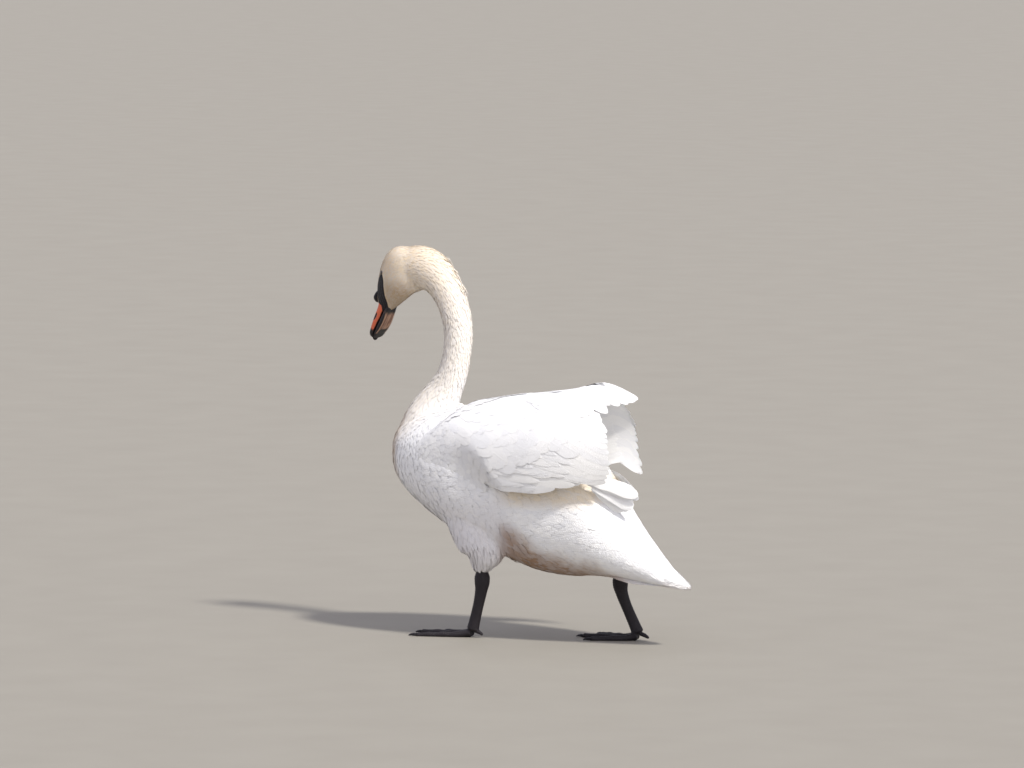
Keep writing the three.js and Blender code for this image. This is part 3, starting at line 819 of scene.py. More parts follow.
class Look:
    """One material, its nodes made by short calls."""

    def __init__(self, name, **sockets):
        self.material = bpy.data.materials.new(name)
        self.material.use_nodes = True
        self.tree = self.material.node_tree
        self.shader = self.tree.nodes["Principled BSDF"]
        for key, value in sockets.items():
            self.shader.inputs[key.replace("_", " ")].default_value = value

    def made(self, kind, inputs, settings):
        node = self.tree.nodes.new(kind)
        for key, value in settings.items():
            setattr(node, key, value)
        for key, value in inputs.items():
            if isinstance(value, Value):
                self.tree.links.new(value.socket, node.inputs[key])
            else:
                node.inputs[key].default_value = value
        return node

    def node(self, kind, inputs, output=0, **settings):
        return Value(self, self.made(kind, inputs, settings).outputs[output])

    def mix(self, share, a, b):
        return self.node("ShaderNodeMix", {0: share, 6: a, 7: b}, 2, data_type="RGBA")

    def place(self):
        return self.node("ShaderNodeTexCoord", {}, "Object")

    def axes(self, vector):
        return [Value(self, axis) for axis in self.made("ShaderNodeSeparateXYZ", {0: vector}, {}).outputs]

    def scaled(self, vector, scale):
        return self.node("ShaderNodeMapping", {"Vector": vector, "Scale": scale})

    def noise(self, vector, scale, detail=3.0):
        return self.node("ShaderNodeTexNoise", {"Vector": vector, "Scale": scale, "Detail": detail}, "Fac")

    def attribute(self, name):
        return self.node("ShaderNodeAttribute", {}, "Fac", attribute_name=name)

    def colour(self, value):
        self.tree.links.new(value.socket, self.shader.inputs["Base Color"])

    def bump(self, height, strength, distance):
        inputs = {"Height": height, "Strength": strength, "Distance": distance}
        value = self.node("ShaderNodeBump", inputs)
        self.tree.links.new(value.socket, self.shader.inputs["Normal"])


# Markings of the plumage about the working origin (m), several of them painted shade. Each pair is
# where a mark starts and where it is full. Rearward counts for less away from the middle. The
# painted shade of the throat has no lower end, so it also darkens the foremost part of the breast.
CREAM_SLOPE, CREAM_HEIGHT = 0.772, 0.571  # the cream starts on this slanting line
CREAM_FAINT, CREAM_FULL = (-0.02, 0.07), (0.12, 0.42)  # over that line
REARWARD_X, REARWARD_Y = 0.866, 0.5
STAIN_SHADE_RISES = [(-0.04, 0.07, 0.0, 0.057), (0.07, 0.30, 0.0, 0.065)]  # the edge of the stain and its painted shade drops to the rear
STAIN_SHADE_HEIGHT, STAIN_SHADE_FRONT = (0.278, 0.226), (-0.055, -0.030)
SHADE_GREY_HEIGHT, SHADE_GREY_REAR = (0.34, 0.18), (0.0, -0.05)
# Where the painted wing shade lies on the flank, under the wings' lower edge.
WING_SHADE_FOOT, WING_SHADE_TOP = (0.268, 0.300), (0.350, 0.330)
WING_SHADE_FRONT, WING_SHADE_REAR = (0.0, 0.06), (0.235, 0.200)
THROAT_SHADE_HEIGHT, THROAT_SHADE_FRONT = (0.730, 0.694), (-0.236, -0.262)


def plumage_marks(look, paint_wing_shade=True):
    """White plumage, creamy on head and neck; painted shade greys the lower breast and browns the throat,
    and a stain with painted shade darkens the belly. The body also has painted beige shade under
    the wings."""
    vector = look.place()
    x, y, z = look.axes(vector)
    x = x - float(HOME[0])
    patches = look.noise(vector, 22.0)
    line = z - x * CREAM_SLOPE - CREAM_HEIGHT + (patches - 0.5) * 0.05
    colour = look.mix(line.ramp(*CREAM_FAINT, 0.0, 0.34) + line.ramp(*CREAM_FULL, 0.0, 0.42), WHITE, CREAM)
    rearward = x * REARWARD_X - abs(y - float(HOME[1])) * REARWARD_Y
    # Under the belly: a stain together with painted shade, whose edge drops to the rear.
    near, far = (rearward.ramp(*rise) for rise in STAIN_SHADE_RISES)
    low = (z + (near + far + patches * 0.04)).ramp(*STAIN_SHADE_HEIGHT)
    colour = look.mix(low * rearward.ramp(*STAIN_SHADE_FRONT), colour, BELLY_STAIN_AND_SHADE)
    # Painted shade greying the lower breast in front.
    shade_grey = z.ramp(*SHADE_GREY_HEIGHT, 0.0, 0.55) * rearward.ramp(*SHADE_GREY_REAR)
    colour = look.mix(shade_grey, colour, PAINTED_SHADE_GREY)
    if paint_wing_shade:
        # Painted beige shade on the flank under the wings.
        band = z.ramp(*WING_SHADE_FOOT) * z.ramp(*WING_SHADE_TOP) * x.ramp(*WING_SHADE_FRONT) * x.ramp(*WING_SHADE_REAR)
        colour = look.mix(band, colour, PAINTED_WING_SHADE)
    # Painted shade under the head, mottled, browning the throat.
    throat = z.ramp(*THROAT_SHADE_HEIGHT) * x.ramp(*THROAT_SHADE_FRONT) * (patches * 0.5 + 0.42)
    return look.mix(throat, colour, PAINTED_THROAT_SHADE)


def skin_look():
    look = Look("plumage_down", Roughness=0.85)
    look.colour(plumage_marks(look))
    look.bump(look.noise(look.place(), 900.0, 4.0), 0.5, 0.001)
    return look.material


FULL_TURN = 6.283
BARB_SLANT = 0.22  # how far the barbs lean forward, as a share of the feather
VANE_TONE, BARB_TONE, SHAFT_RISE = 0.34, 0.015, 1.5


def feather_look(name, barbs, strength, roughness, paint_wing_shade=False):
    """Feathers: barbs run out and forward from each shaft, and each vane has its own tone."""
    look = Look(name, Roughness=roughness)
    along, across, tone = look.attribute("along"), look.attribute("across"), look.attribute("tone")
    out = abs(across)
    wave = ((along * barbs - out * (barbs * BARB_SLANT)) * FULL_TURN).using("SINE")
    shade = tone * VANE_TONE + wave * BARB_TONE
    look.colour(look.mix(shade, plumage_marks(look, paint_wing_shade), SHADOW_TINT))
    look.bump(wave + out.ramp(0.10, 0.0) * SHAFT_RISE, strength, 0.0006)
    return look.material


PUPIL_EDGE = (0.0022, 0.0027)


def eye_look():
    look = Look("wet_eye", Roughness=0.06, Coat_Weight=1.0, Coat_Roughness=0.03)
    x, _, z = look.axes(look.place())
    reach = (x * x + z * z).using("SQRT")
    iris = (reach + look.noise(look.place(), 1400.0) * 0.0006).ramp(*PUPIL_EDGE)
    look.colour(look.mix(iris, PUPIL_BLACK, IRIS_BROWN))
    return look.material


def black_skin_look(name, base, grain, roughness):
    """Bare black skin: fine wrinkles over tiny scales."""
    look = Look(name, Roughness=roughness, Specular_IOR_Level=0.3)
    vector = look.place()
    paler = tuple(min(1, c * 2.4) for c in base[:3]) + (1,)
    look.colour(look.mix(look.noise(vector, 130.0), base, paler))
    inputs = {"Vector": vector, "Scale": grain}
    cells = look.node("ShaderNodeTexVoronoi", inputs, "Distance", feature="DISTANCE_TO_EDGE")
    look.bump(cells.ramp(0.0, 0.22), 0.6, 0.0007)
    return look.material


# Black on the upper bill, in its own frame (m): the cutting edge, the base, the tip, and an
# oval round the nostril, whose edge is a share of the oval's size.
NOSTRIL_X, NOSTRIL_Z = 26 * MM, 10.5 * MM
OVAL_LENGTH, OVAL_HEIGHT, OVAL_EDGE = 0.0085, 0.0024, (1.5, 0.9)
CUTTING_EDGE, BASE_SLOPE, BASE_EDGE, TIP_EDGE = (0.0034, 0.0020), 0.9, (-0.0125, -0.0155), (0.050, 0.057)


def bill_look():
    """Orange upper mandible: black round the nostril, along the cutting edge and at the base."""
    look = Look("bill_horn", Roughness=0.38, Coat_Weight=0.15)
    vector = look.place()
    x, _, z = look.axes(vector)
    mottle = look.noise(look.scaled(vector, (60, 260, 260)), 1.0, 4.0)
    wander = (mottle - 0.5) * 0.003
    orange = look.mix(mottle, DEEP_ORANGE, PALE_ORANGE)
    oval_x = (x - NOSTRIL_X) / OVAL_LENGTH
    oval_z = (z - NOSTRIL_Z) / OVAL_HEIGHT
    oval = oval_x * oval_x + oval_z * oval_z
    black = (z + wander).ramp(*CUTTING_EDGE)
    black = black.or_more((oval + wander * 120.0).ramp(*OVAL_EDGE))
    black = black.or_more((x + z * BASE_SLOPE + wander).ramp(*BASE_EDGE))
    black = black.or_more((x + wander).ramp(*TIP_EDGE))
    look.colour(look.mix(black, orange, HORN_BLACK))
    look.bump(look.noise(look.scaled(vector, (300, 1200, 1200)), 1.0, 4.0), 0.25, 0.0005)
    return look.material


# Black on the lower bill (m). Depth is a share of the bill's own, which thins to the tip.
RIM_OUT, LOWER_BASE = (0.0128, 0.0142), (0.020, 0.008)
LOWER_EDGE, LOWER_TIP = (-0.0034, -0.0022), (0.054, 0.060)
LOWER_DEPTH = (0.026, 0.080, -0.0150, -0.0028)
KEEL, STREAK_DEPTH, STREAK_HALF, STREAK_END = (0.90, 0.97), 0.56, (0.11, 0.03), (0.050, 0.036)


def lower_bill_look():
    """Lower mandible: black rims, base and keel, streaked pinkish tan between."""
    look = Look("bill_lower_horn", Roughness=0.42)
    vector = look.place()
    x, y, z = look.axes(vector)
    streak = look.noise(look.scaled(vector, (25, 420, 420)), 1.0, 3.0)
    tan = look.mix(streak.ramp(0.35, 0.65), DARK_TAN, PALE_TAN)
    depth = z / x.ramp(*LOWER_DEPTH)
    band = abs(depth - STREAK_DEPTH).ramp(*STREAK_HALF, 0.0, 0.6) * x.ramp(*STREAK_END)
    black = abs(y).ramp(*RIM_OUT).or_more((x + streak * 0.016).ramp(*LOWER_BASE))
    black = black.or_more((z + x * 0.02).ramp(*LOWER_EDGE)).or_more(x.ramp(*LOWER_TIP))
    black = black.or_more(depth.ramp(*KEEL)).or_more(band)
    look.colour(look.mix(black, tan, HORN_BLACK))
    look.bump(look.noise(look.scaled(vector, (200, 900, 900)), 1.0, 4.0), 0.3, 0.0005)
    return look.material


DOWN = skin_look()
SOFT_FEATHERS = feather_look("body_feathers", 7.0, 0.25, 0.8, True)
WING_FEATHERS = feather_look("flight_feathers", 38.0, 0.35, 0.62)
EYE_WET = eye_look()
FACE_BLACK = black_skin_look("face_skin", HORN_BLACK, 1100.0, 0.42)
HORN = black_skin_look("black_horn", HORN_BLACK, 700.0, 0.35)
LEG_SKIN = black_skin_look("leg_scales", LEG_BLACK, 330.0, 0.5)
CLAW_HORN = black_skin_look("claw_horn", HORN_BLACK, 500.0, 0.4)
BILL = bill_look()
LOWER_BILL = lower_bill_look()

# ---------------------------------------------------------------- face markings in the head's frame

skull_section = through(SKULL)
SKULL_BULGE = 2.1


def skull_turn(x, z):
    """The angle round the skull's section, from -90 under the throat to 90 at the crown."""
    low, high, _ = np.moveaxis(skull_section(x), -1, 0)
    ratio = np.clip((z - (low + high) / 2) / ((high - low) / 2), -1, 1)
    return np.arcsin(signed_power(ratio, SKULL_BULGE / 2))


def skull_point(x, turn, side, grow):
    low, high, half = np.moveaxis(skull_section(x), -1, 0)
    squared = signed_power(np.sin(turn), 2 / SKULL_BULGE)
    y = side * (half + grow) * np.abs(np.cos(turn)) ** (2 / SKULL_BULGE)
    return np.stack([x, y, (low + high) / 2 + ((high - low) / 2 + grow) * squared], axis=-1)


def skull_marks(rows):
    """A smooth boundary line through [x, z] places, as an angle for x."""
    rows = MM * np.array(rows, float)
    return curve_through(np.column_stack([rows[:, 0], skull_turn(rows[:, 0], rows[:, 1])]))


# The bare patch from the eye to the bill, on the side of the skull: how far up the feathers
# stay off, and the upper and lower edges of the black skin in it.
LORE_START, LORE_END = -0.0745, 0.0095
LORE_REAR = [[-75, 12.5], [-70, 17], [-62, 21], [-52, 22.5]]
bare_top = skull_marks(LORE_REAR + [[-34, 23], [-20, 25], [-8, 19.9], [10, 2]])
lore_top = skull_marks(LORE_REAR + [[-36, 22], [-22, 17.5], [-8, 11], [10, 1]])
lore_foot = skull_marks([[-75, 10], [-67, 2], [-51, -5], [-34, -11.5], [-18, -19], [-9, -19], [10, -5.9]])


# Limits of the face, the bill's start, and the bare ground round the eyes and the knob.
FACE_END, FACE_HALF, FACE_FOOT, FACE_TOP, BILL_START = 0.03, 0.036, -0.06, 0.05, -0.006
EYE_BARE, KNOB_X, KNOB_LENGTH, KNOB_HALF, KNOB_FOOT = 0.0072, -0.015, 0.015, 0.0115, 0.01


def bare_face(points):
    """Where the head carries no feathers: the lores, the bill's base and the eyes."""
    local = to_head(points)
    x, y, z = local.T
    turn = skull_turn(x, z)
    within = (x > LORE_START) & (x < FACE_END) & (np.abs(y) < FACE_HALF)
    within &= (z > FACE_FOOT) & (z < FACE_TOP)
    bare = within & (turn < bare_top(x)) & (turn > lore_foot(x) - 0.02)
    bare |= within & (x > BILL_START)
    eyes = np.stack([EYE, EYE * [1, -1, 1]])
    reach = np.linalg.norm(local[:, None] - eyes[None], axis=-1).min(1)
    knob = np.hypot((x - KNOB_X) / KNOB_LENGTH, y / KNOB_HALF) < 1
    return bare | (reach < EYE_BARE) | (knob & (z > KNOB_FOOT))


# ---------------------------------------------------------------- skin


FLESH_X, FLESH_UP = (-0.232, 0.07), (0.05, 1.0)


def wing_flesh(side):
    """The fleshy front of a folded wing, closed, inside the coverts."""
    x, up = grid(np.linspace(*FLESH_X, 60), np.linspace(*FLESH_UP, 44))
    from_ends = np.minimum(x - FLESH_X[0], FLESH_X[1] - x) * 6
    from_edges = np.minimum(up - FLESH_UP[0], FLESH_UP[1] - up)
    rim = np.minimum(1, 8 * np.minimum(from_edges, from_ends))
    swell = np.sqrt(np.clip(rim, 0, 1)) * 0.5
    middle = -(COAT["wing"] + wing_depth(x)) / 2
    thick = (wing_depth(x) - COAT["wing"] - 1 * MM) * (0.5 + swell)
    return slab(wing_point(side, x, up, middle + thick / 2), wing_point(side, x, up, middle - thick / 2))


def body_parts():
    skull_points, skull_faces = sectioned(SKULL, 60, 56, SKULL_BULGE, -COAT["skull"])
    parts = [
        sectioned(TRUNK, 120, 96, 2.2, -COAT["trunk"]),
        tube(NECK, 160, 56, -COAT["neck"]),
        tube(CROWN, 20, 40, -COAT["skull"]),
        (from_head(skull_points), skull_faces),
    ]
    return parts + [tube(THIGHS[side], 60, 40, -COAT["thigh"]) for side in (LEFT, RIGHT)]


body_points, body_quads = remeshed("body_form", body_parts(), SKIN_VOXEL, 6, True)
body = Surface(body_points, body_quads)
GAP = make_wing_gap()
skin_points, skin_quads = remeshed(
    "skin_form", body_parts() + [wing_flesh(LEFT), wing_flesh(RIGHT)], SKIN_VOXEL, 4, True
)
FLESH = ["head", "neck_upper", "neck_middle", "neck_lower", "trunk", "tail", "thigh_left", "thigh_right"]
FLESH += [f"wing_{name}_{part}" for name in NAMES.values() for part in ("shoulder", "scapulars")]
piece("skin", skin_points, [skin_quads], DOWN, "plumage", replaces=FLESH)

# ---------------------------------------------------------------- coat of the body

TUFT_SHARES = np.array([0.0, 0.55, 1.0])
PLUME_SHARES = np.array([0.0, 0.30, 0.62, 0.86, 1.0])

# By share of the spine: spacing, length, half width and rise of the tips, in mm.
coat_sizes = through(np.array([
    [0.00, 1.9, 6.0, 1.6, 0.9], [0.10, 2.4, 10, 2.0, 1.1], [0.16, 2.8, 17, 2.0, 1.8],
    [0.30, 3.1, 24, 2.3, 1.9], [0.42, 4.0, 27, 3.4, 2.2], [0.50, 5.2, 36, 5.6, 2.6],
    [0.70, 6.0, 42, 7.0, 2.3], [0.85, 6.0, 56, 6.5, 1.4], [1.00, 4.5, 60, 3.6, 1.0],
]))


LEG_NEAR, LEG_FAR = 0.045, 0.062  # reaches from a leg's line
LEG_COAT_FULL, LEG_COAT_TOP = 0.20, 0.24  # heights


def leg_closeness(points):
    """1 on the feathered legs, 0 away from them."""
    reach = np.linalg.norm(points[:, None] - LEG_LINES[None], axis=-1).min(1)
    low = smooth_step(-points[:, 2], -LEG_COAT_TOP, -LEG_COAT_FULL)
    return smooth_step(-reach, -LEG_FAR, -LEG_NEAR) * low


def root_spacing(points):
    share = spine_share(points)
    spacing = coat_sizes(share)[:, 0] * MM
    spacing = spacing + (5.0 * MM - spacing) * leg_closeness(points)
    return np.where(bare_face(points), 0.0, spacing)


def under_wing(points, normals):
    """Where a folded wing presses on the body, so that no feather fits there."""
    hidden = np.zeros(len(points), bool)
    for tree in wing_trees:
        for i, (place, way) in enumerate(zip(points, normals)):
            if not hidden[i]:
                hidden[i] = tree.ray_cast(Vector(place), Vector(way), 0.016)[0] is not None
    return hidden


def wing_tree(side):
    points, faces = wing_flesh(side)
    return BVHTree.FromPolygons(points.tolist(), np.concatenate(faces).tolist())


wing_trees = [wing_tree(side) for side in (LEFT, RIGHT)]


def unwrapped(points):
    """The skin's own unwrap: along the spine, and round it, spread over the whole map."""
    along, turn = spine_share(points), spine_turn(points)
    spread_out = (along - along.min()) / (along.max() - along.min())
    turn = (turn - turn.min()) / (turn.max() - turn.min())
    return 0.01 + 0.98 * np.stack([spread_out, turn], axis=-1)


TUFT_SINK = 0.6 * MM


def lay_vanes(name, roots, lengths, halves, rises, shares, widths, stray, thick):
    """A piece of tufts or feathers, rooted just under the skin and rising to their tips."""
    centre, normal, across = comb(body, roots, lengths, shares, stray)
    half = halves[:, None] * np.asarray(widths)[None]
    curve = 1 - (1 - shares) ** 1.7
    lift = rises[:, None] * curve[None] - TUFT_SINK * (1 - shares)[None]
    points = body_vanes(centre, normal, across, half, lift, TUFT_SECTION, thick)
    tone = np.random.default_rng(len(roots)).random(len(roots))
    uv, values = vane_values(unwrapped(roots), shares, TUFT_SECTION, tone)
    faces = vane_faces(len(roots), len(shares), len(TUFT_SECTION))
    piece(name, points.reshape(-1, 3), faces, SOFT_FEATHERS, "plumage", uv=uv, values=values)


ROOTS_TRIED, LAST_ROOT = 150000, 0.375
VARIETY = 0.18  # how far lengths, widths and rises differ from feather to feather
LEG_SIZES = MM * np.array([4.8, 30, 3.4, 3.2])  # on the legs, as in coat_sizes
# Loose tufts on the nape: where they are, how far they reach and how much they stand up.
RUFFLED = MM * np.array([[-186, 8, 765], [-161, 8, 748], [-144, 7, 718]])
RUFFLED_REACH, RUFFLED_RISE = 0.012, 9 * MM
NECK_WIDTHS, BODY_WIDTHS = [0.5, 1.0, 0.9, 0.6, 0.1], [0.5, 0.95, 1.0, 0.75, 0.15]
# Regions by share of the spine: name, from, to, stations, half widths there, how far feathers
# stray in degrees, their thickness, and how unevenly their tips rise.
COAT_REGIONS = [
    ("head", 0, 0.10, TUFT_SHARES, [0.5, 1.0, 0.2], 6, 0.13 * MM, 0.1),
    ("neck_upper", 0.10, 0.27, PLUME_SHARES, NECK_WIDTHS, 5, 0.16 * MM, 0.3),
    ("neck_lower", 0.27, 0.42, PLUME_SHARES, NECK_WIDTHS, 5, 0.16 * MM, 0.25),
    ("breast", 0.42, 0.56, PLUME_SHARES, BODY_WIDTHS, 5, 0.18 * MM, 0.25),
    ("flanks", 0.56, 0.80, PLUME_SHARES, BODY_WIDTHS, 4, 0.18 * MM, 0.15),
    ("tail", 0.80, 1.01, PLUME_SHARES, [0.5, 0.95, 1.0, 0.7, 0.12], 2, 0.2 * MM, 0.1),
]
THIGH_COAT = (PLUME_SHARES, [0.6, 1.0, 0.85, 0.5, 0.1], 8, 0.3 * MM, 0.5)


def coat_region(name, roots, size, leg, shares, widths, wander, thick, uneven):
    count = len(roots)
    local = np.random.default_rng(count)
    size = size + (LEG_SIZES - size) * leg[:, None]
    vary = 1 + VARIETY * (local.random((count, 3)) * 2 - 1)
    lengths, halves, rises = (size[:, 1:] * vary).T
    rises = rises * (1 + uneven * (local.random(count) * 2 - 1))
    reach = np.linalg.norm(roots[:, None] - RUFFLED[None], axis=-1).min(1)
    rises = rises + RUFFLED_RISE * np.exp(-((reach / RUFFLED_REACH) ** 2)) * local.random(count) ** 2
    stray = np.radians(wander) * local.standard_normal(count)
    lengths = np.minimum(lengths, np.maximum(TAIL_TIP + 2 * MM - roots[:, 0], 10 * MM))
    lay_vanes(name, roots, lengths, halves, rises, shares, widths, stray, thick)


def lay_coat():
    roots = body.scatter(np.random.default_rng(11), root_spacing, ROOTS_TRIED)
    _, normals = body.nearest(roots)
    roots = roots[~under_wing(roots, normals) & (roots[:, 0] < LAST_ROOT)]
    share, leg = spine_share(roots), leg_closeness(roots)
    sizes = coat_sizes(share) * MM
    on_leg = leg > 0.5
    regions = []
    for name, start, end, *style in COAT_REGIONS:
        regions.append((name, (share >= start) & (share < end) & ~on_leg, style))
    for side in (LEFT, RIGHT):
        regions.append((f"thigh_{NAMES[side]}", on_leg & (np.sign(roots[:, 1]) == side), THIGH_COAT))
    for name, here, style in regions:
        coat_region(f"coat_{name}", roots[here], sizes[here], leg[here], *style)


lay_coat()

# ---------------------------------------------------------------- wings

QUILL_SHARES = np.array([0.0, 0.12, 0.27, 0.42, 0.57, 0.70, 0.80, 0.88, 0.94, 0.98, 1.0])


def quill_widths(shares, blunt):
    """Half width along a flight feather, as a share: narrow at the root, rounded at the tip."""
    root = 0.5 + 0.5 * smooth_step(shares, 0.0, 0.4)
    tip = np.clip((shares - blunt) / (1 - blunt), 0, 1)
    return root * np.sqrt(np.clip(1 - tip**2, 0.01, 1))


def walk_back(side, tips, lengths, shares):
    """Middle lines, in the wing's x and up, of feathers that end at the given tips."""
    places = [tips]
    for near, far in zip(shares[:0:-1], shares[-2::-1]):
        here = places[-1]
        step = (near - far) * lengths
        places.append(here - wing_step(side, here, -wing_lie(here)) * step[:, None])
    return np.stack(places[::-1], axis=1)


TIP_WANDER_X, TIP_WANDER_UP, EDGE_WANDER = 0.003, 0.022, 0.0015
LEAST_STEEP = 0.26  # keeps tips apart where the feathers run along the row
EDGE_HEIGHT = 0.24  # of the wing's rear edge
EDGE_MARGIN, FIELD_MARGIN = 0.012, 0.003  # inside the wing's visible front
QUILL_THICK, LESSER_THICK = 0.16 * MM, 0.12 * MM
INNER_SHARE, INNER_ROOM = 0.92, 5 * MM  # how deep the feathers of the underside lie


def row_tips(up, start, end, gap, rng):
    """Tips along a row of the wing, each a gap further across the lie than the last."""
    tips, x = [], start
    while x < end:
        tips.append([x + rng.normal(0, TIP_WANDER_X), up + rng.normal(0, TIP_WANDER_UP)])
        steep = math.sin(float(wing_lie(np.array([x, up]))))
        x += gap * (1 + rng.normal(0, 0.10)) / max(steep, LEAST_STEEP)
    return tips


def edge_tips(side, low, high, gap, rng):
    """Tips down the rear edge of the folded wing."""
    end = curve_through(WING_END[side])
    ups = np.arange(low, high, gap / EDGE_HEIGHT)
    return [[float(end(up)) + rng.normal(0, EDGE_WANDER), up] for up in ups]


def on_wing(side, places, room):
    """The places, in x and up, that lie within the wing's visible front by some room."""
    spot = wing_point(side, places[:, 0], places[:, 1])
    return np.min(wing_within(places[:, 0], spot[:, 2]), axis=0) > room


class Vanes:
    """Gathers vanes of a wing or the tail into a single piece."""

    def __init__(self):
        self.points, self.faces, self.roots, self.values, self.count = [], [], [], [], 0

    def add(self, side, middle, half, lift, thick, roll, rng, ragged=0.0, merge=None, rest=0.0):
        nicks = rng.random(half.shape)[..., None] * (rng.random(half.shape)[..., None] > 0.6)
        edges = 1 - ragged * nicks
        points = wing_vanes(side, middle, half, lift, QUILL_SECTION, thick, roll, edges, merge, rest)
        self.add_points(points, middle[:, 0], rng)

    def add_points(self, points, roots, rng):
        count, stations, ring = points.shape[:3]
        faces = vane_faces(count, stations, ring)
        flat = points.reshape(-1, 3)
        self.faces += [block + self.count for block in outward(flat, faces)]
        self.count += len(flat)
        self.points.append(flat)
        self.roots.append(roots)
        self.values.append((stations, rng.random(count)))

    def finish(self, name, replaces):
        roots = np.concatenate(self.roots)
        low, high = roots.min(0), roots.max(0)
        uvs, values = [], []
        for block, (stations, tone) in zip(self.roots, self.values):
            place = 0.01 + 0.98 * (block - low) / (high - low)
            uv, value = vane_values(place, QUILL_SHARES[:stations], QUILL_SECTION, tone)
            uvs.append(uv)
            values.append(value)
        merged = {key: np.concatenate([value[key] for value in values]) for key in values[0]}
        points, uv = np.concatenate(self.points), np.concatenate(uvs)
        piece(name, points, self.faces, WING_FEATHERS, "wing_feathers", replaces, uv, merged)


def room_at(middle):
    """How much of its full depth below the surface a feather has, where the wing thins."""
    return 0.35 + 0.65 * (wing_depth(middle[..., 0]) / WING_THICK)


def wing_row(gathered, side, tips, length, half, lifts, rng, blunt, roll=0.3 * MM, inner=False):
    """Long feathers that end at the given tips; lifts are of root and tip."""
    tips = np.array(tips)
    tips = tips[on_wing(side, tips, EDGE_MARGIN)]
    lengths = length * (1 + rng.normal(0, 0.08, len(tips)))
    middle = walk_back(side, tips, lengths, QUILL_SHARES)
    widths = half * (1 + rng.normal(0, 0.06, len(tips)))
    halves = widths[:, None] * quill_widths(QUILL_SHARES, blunt)[None]
    uneven = rng.normal(0, 0.1 * MM, len(tips))[:, None]
    room = room_at(middle)
    lift = (lifts[0] + (lifts[1] - lifts[0]) * QUILL_SHARES[None] + uneven) * room
    if inner:
        lift = -wing_depth(middle[..., 0]) * INNER_SHARE - lift - INNER_ROOM * room
    ragged = 0.0 if inner else 0.06
    gathered.add(side, middle, halves, lift, QUILL_THICK, roll if inner else -roll, rng, ragged)


FIELD_X = [-0.24, 0.0]  # the shoulder and the rear of a field
FIELD_RANGE_X, FIELD_RANGE_UP = (-0.243, 0.2), (-0.02, 1.15)
FIELD_TRIED, FIELD_BLUNT = 9000, 0.7


def wing_field(gathered, side, inside, spacing, length, width, lifts, rng):
    """Smaller feathers spread over part of the wing. Spacing and length are given at the
    shoulder and at the rear, and width is a share of the length."""
    x, up = rng.uniform(*FIELD_RANGE_X, FIELD_TRIED), rng.uniform(*FIELD_RANGE_UP, FIELD_TRIED)
    places = np.stack([x, up], axis=-1)
    places = places[inside(*places.T) & on_wing(side, places, FIELD_MARGIN)]
    reach = np.interp(places[:, 0], FIELD_X, spacing)
    roots = places[spread(wing_point(side, *places.T), reach)]
    lengths = np.interp(roots[:, 0], FIELD_X, length) * (1 + rng.normal(0, 0.08, len(roots)))
    turned = np.radians(rng.normal(0, 3, len(roots)))
    line = [roots]
    for near, far in zip(QUILL_SHARES[:-1], QUILL_SHARES[1:]):
        here = line[-1]
        step = wing_step(side, here, turned - wing_lie(here))
        line.append(here + step * ((far - near) * lengths)[:, None])
    middle = np.stack(line, axis=1)
    halves = (lengths * width)[:, None] * quill_widths(QUILL_SHARES, FIELD_BLUNT)[None]
    lift = (lifts[0] + (lifts[1] - lifts[0]) * QUILL_SHARES)[None]
    lift = (lift + rng.normal(0, 0.08 * MM, len(roots))[:, None]) * room_at(middle)
    gathered.add(side, middle, halves, lift, LESSER_THICK, 0.0, rng, 0.05)


# What differs between the folded wings: where the lowest and the topmost feathers lie, how
# long the tertials are, how unevenly they end, how far they stand up, and where they sink.
WING_STYLE = {
    LEFT: {"low": 0.045, "top": 1.0, "length": 0.165, "uneven": 0.008, "stand": 1.25, "sink": 1.02},
    RIGHT: {"low": 0.0, "top": 0.96, "length": 0.12, "uneven": 0.005, "stand": 0.45, "sink": 0.95},
}
# Rows of coverts: up, length, half width, gap, and x of the first and last tips.
COVERT_ROWS = [
    (0.07, 0.110, 0.0100, 0.0072, -0.15, 0.190), (0.13, 0.105, 0.0100, 0.0072, -0.15, 0.190),
    (0.19, 0.100, 0.0095, 0.0068, -0.15, 0.195), (0.25, 0.095, 0.0095, 0.0068, -0.14, 0.195),
    (0.31, 0.090, 0.0090, 0.0068, -0.13, 0.200), (0.37, 0.085, 0.0090, 0.0068, -0.11, 0.195),
    (0.43, 0.080, 0.0090, 0.0068, -0.10, 0.190), (0.49, 0.075, 0.0090, 0.0068, -0.09, 0.190),
]
# Rows of linings under the rear edge: how far in front of it they end, and their lift in mm.
LINING_ROWS = [(0.045, -3.6), (0.080, -2.9), (0.115, -2.2)]
TERTIALS, TERTIAL_HALF = 20, 0.0190
FLIGHT_GAP, LINING_GAP = 0.0105, 0.0095
SHEET_INSET = 0.012  # how far inside the rear edge the plain sheets end
# Height of the tertials in mm along their length: they arch up and over.
tertial_arch = curve_through([[0, -1.5], [0.25, 2.0], [0.5, 7.5], [0.75, 12], [0.9, 11.5], [1, 9.5]])


def lay_flight(side, rng):
    low, flight = WING_STYLE[side]["low"], Vanes()
    tips = row_tips(low - 0.005, -0.13, WING_END[side][0][1] - 0.01, 0.0095, rng)
    tips += edge_tips(side, low, 0.98, FLIGHT_GAP, rng)
    wing_row(flight, side, tips, 0.15, 0.0120, (-3.5 * MM, -2.3 * MM), rng, 0.6)
    flight.finish(f"wing_{NAMES[side]}_flight", [f"wing_{NAMES[side]}_secondaries"])


def lay_coverts(side, rng):
    end, coverts = curve_through(WING_END[side]), Vanes()
    for up, length, half, gap, start, stop in COVERT_ROWS:
        last = min(stop, float(end(up)) - 0.03)
        tips = row_tips(up, start + rng.normal(0, 0.008), last, gap, rng)
        wing_row(coverts, side, tips, length, half, (-2.9 * MM, -1.7 * MM), rng, 0.45, 0.25 * MM)
    coverts.finish(f"wing_{NAMES[side]}_coverts", [])


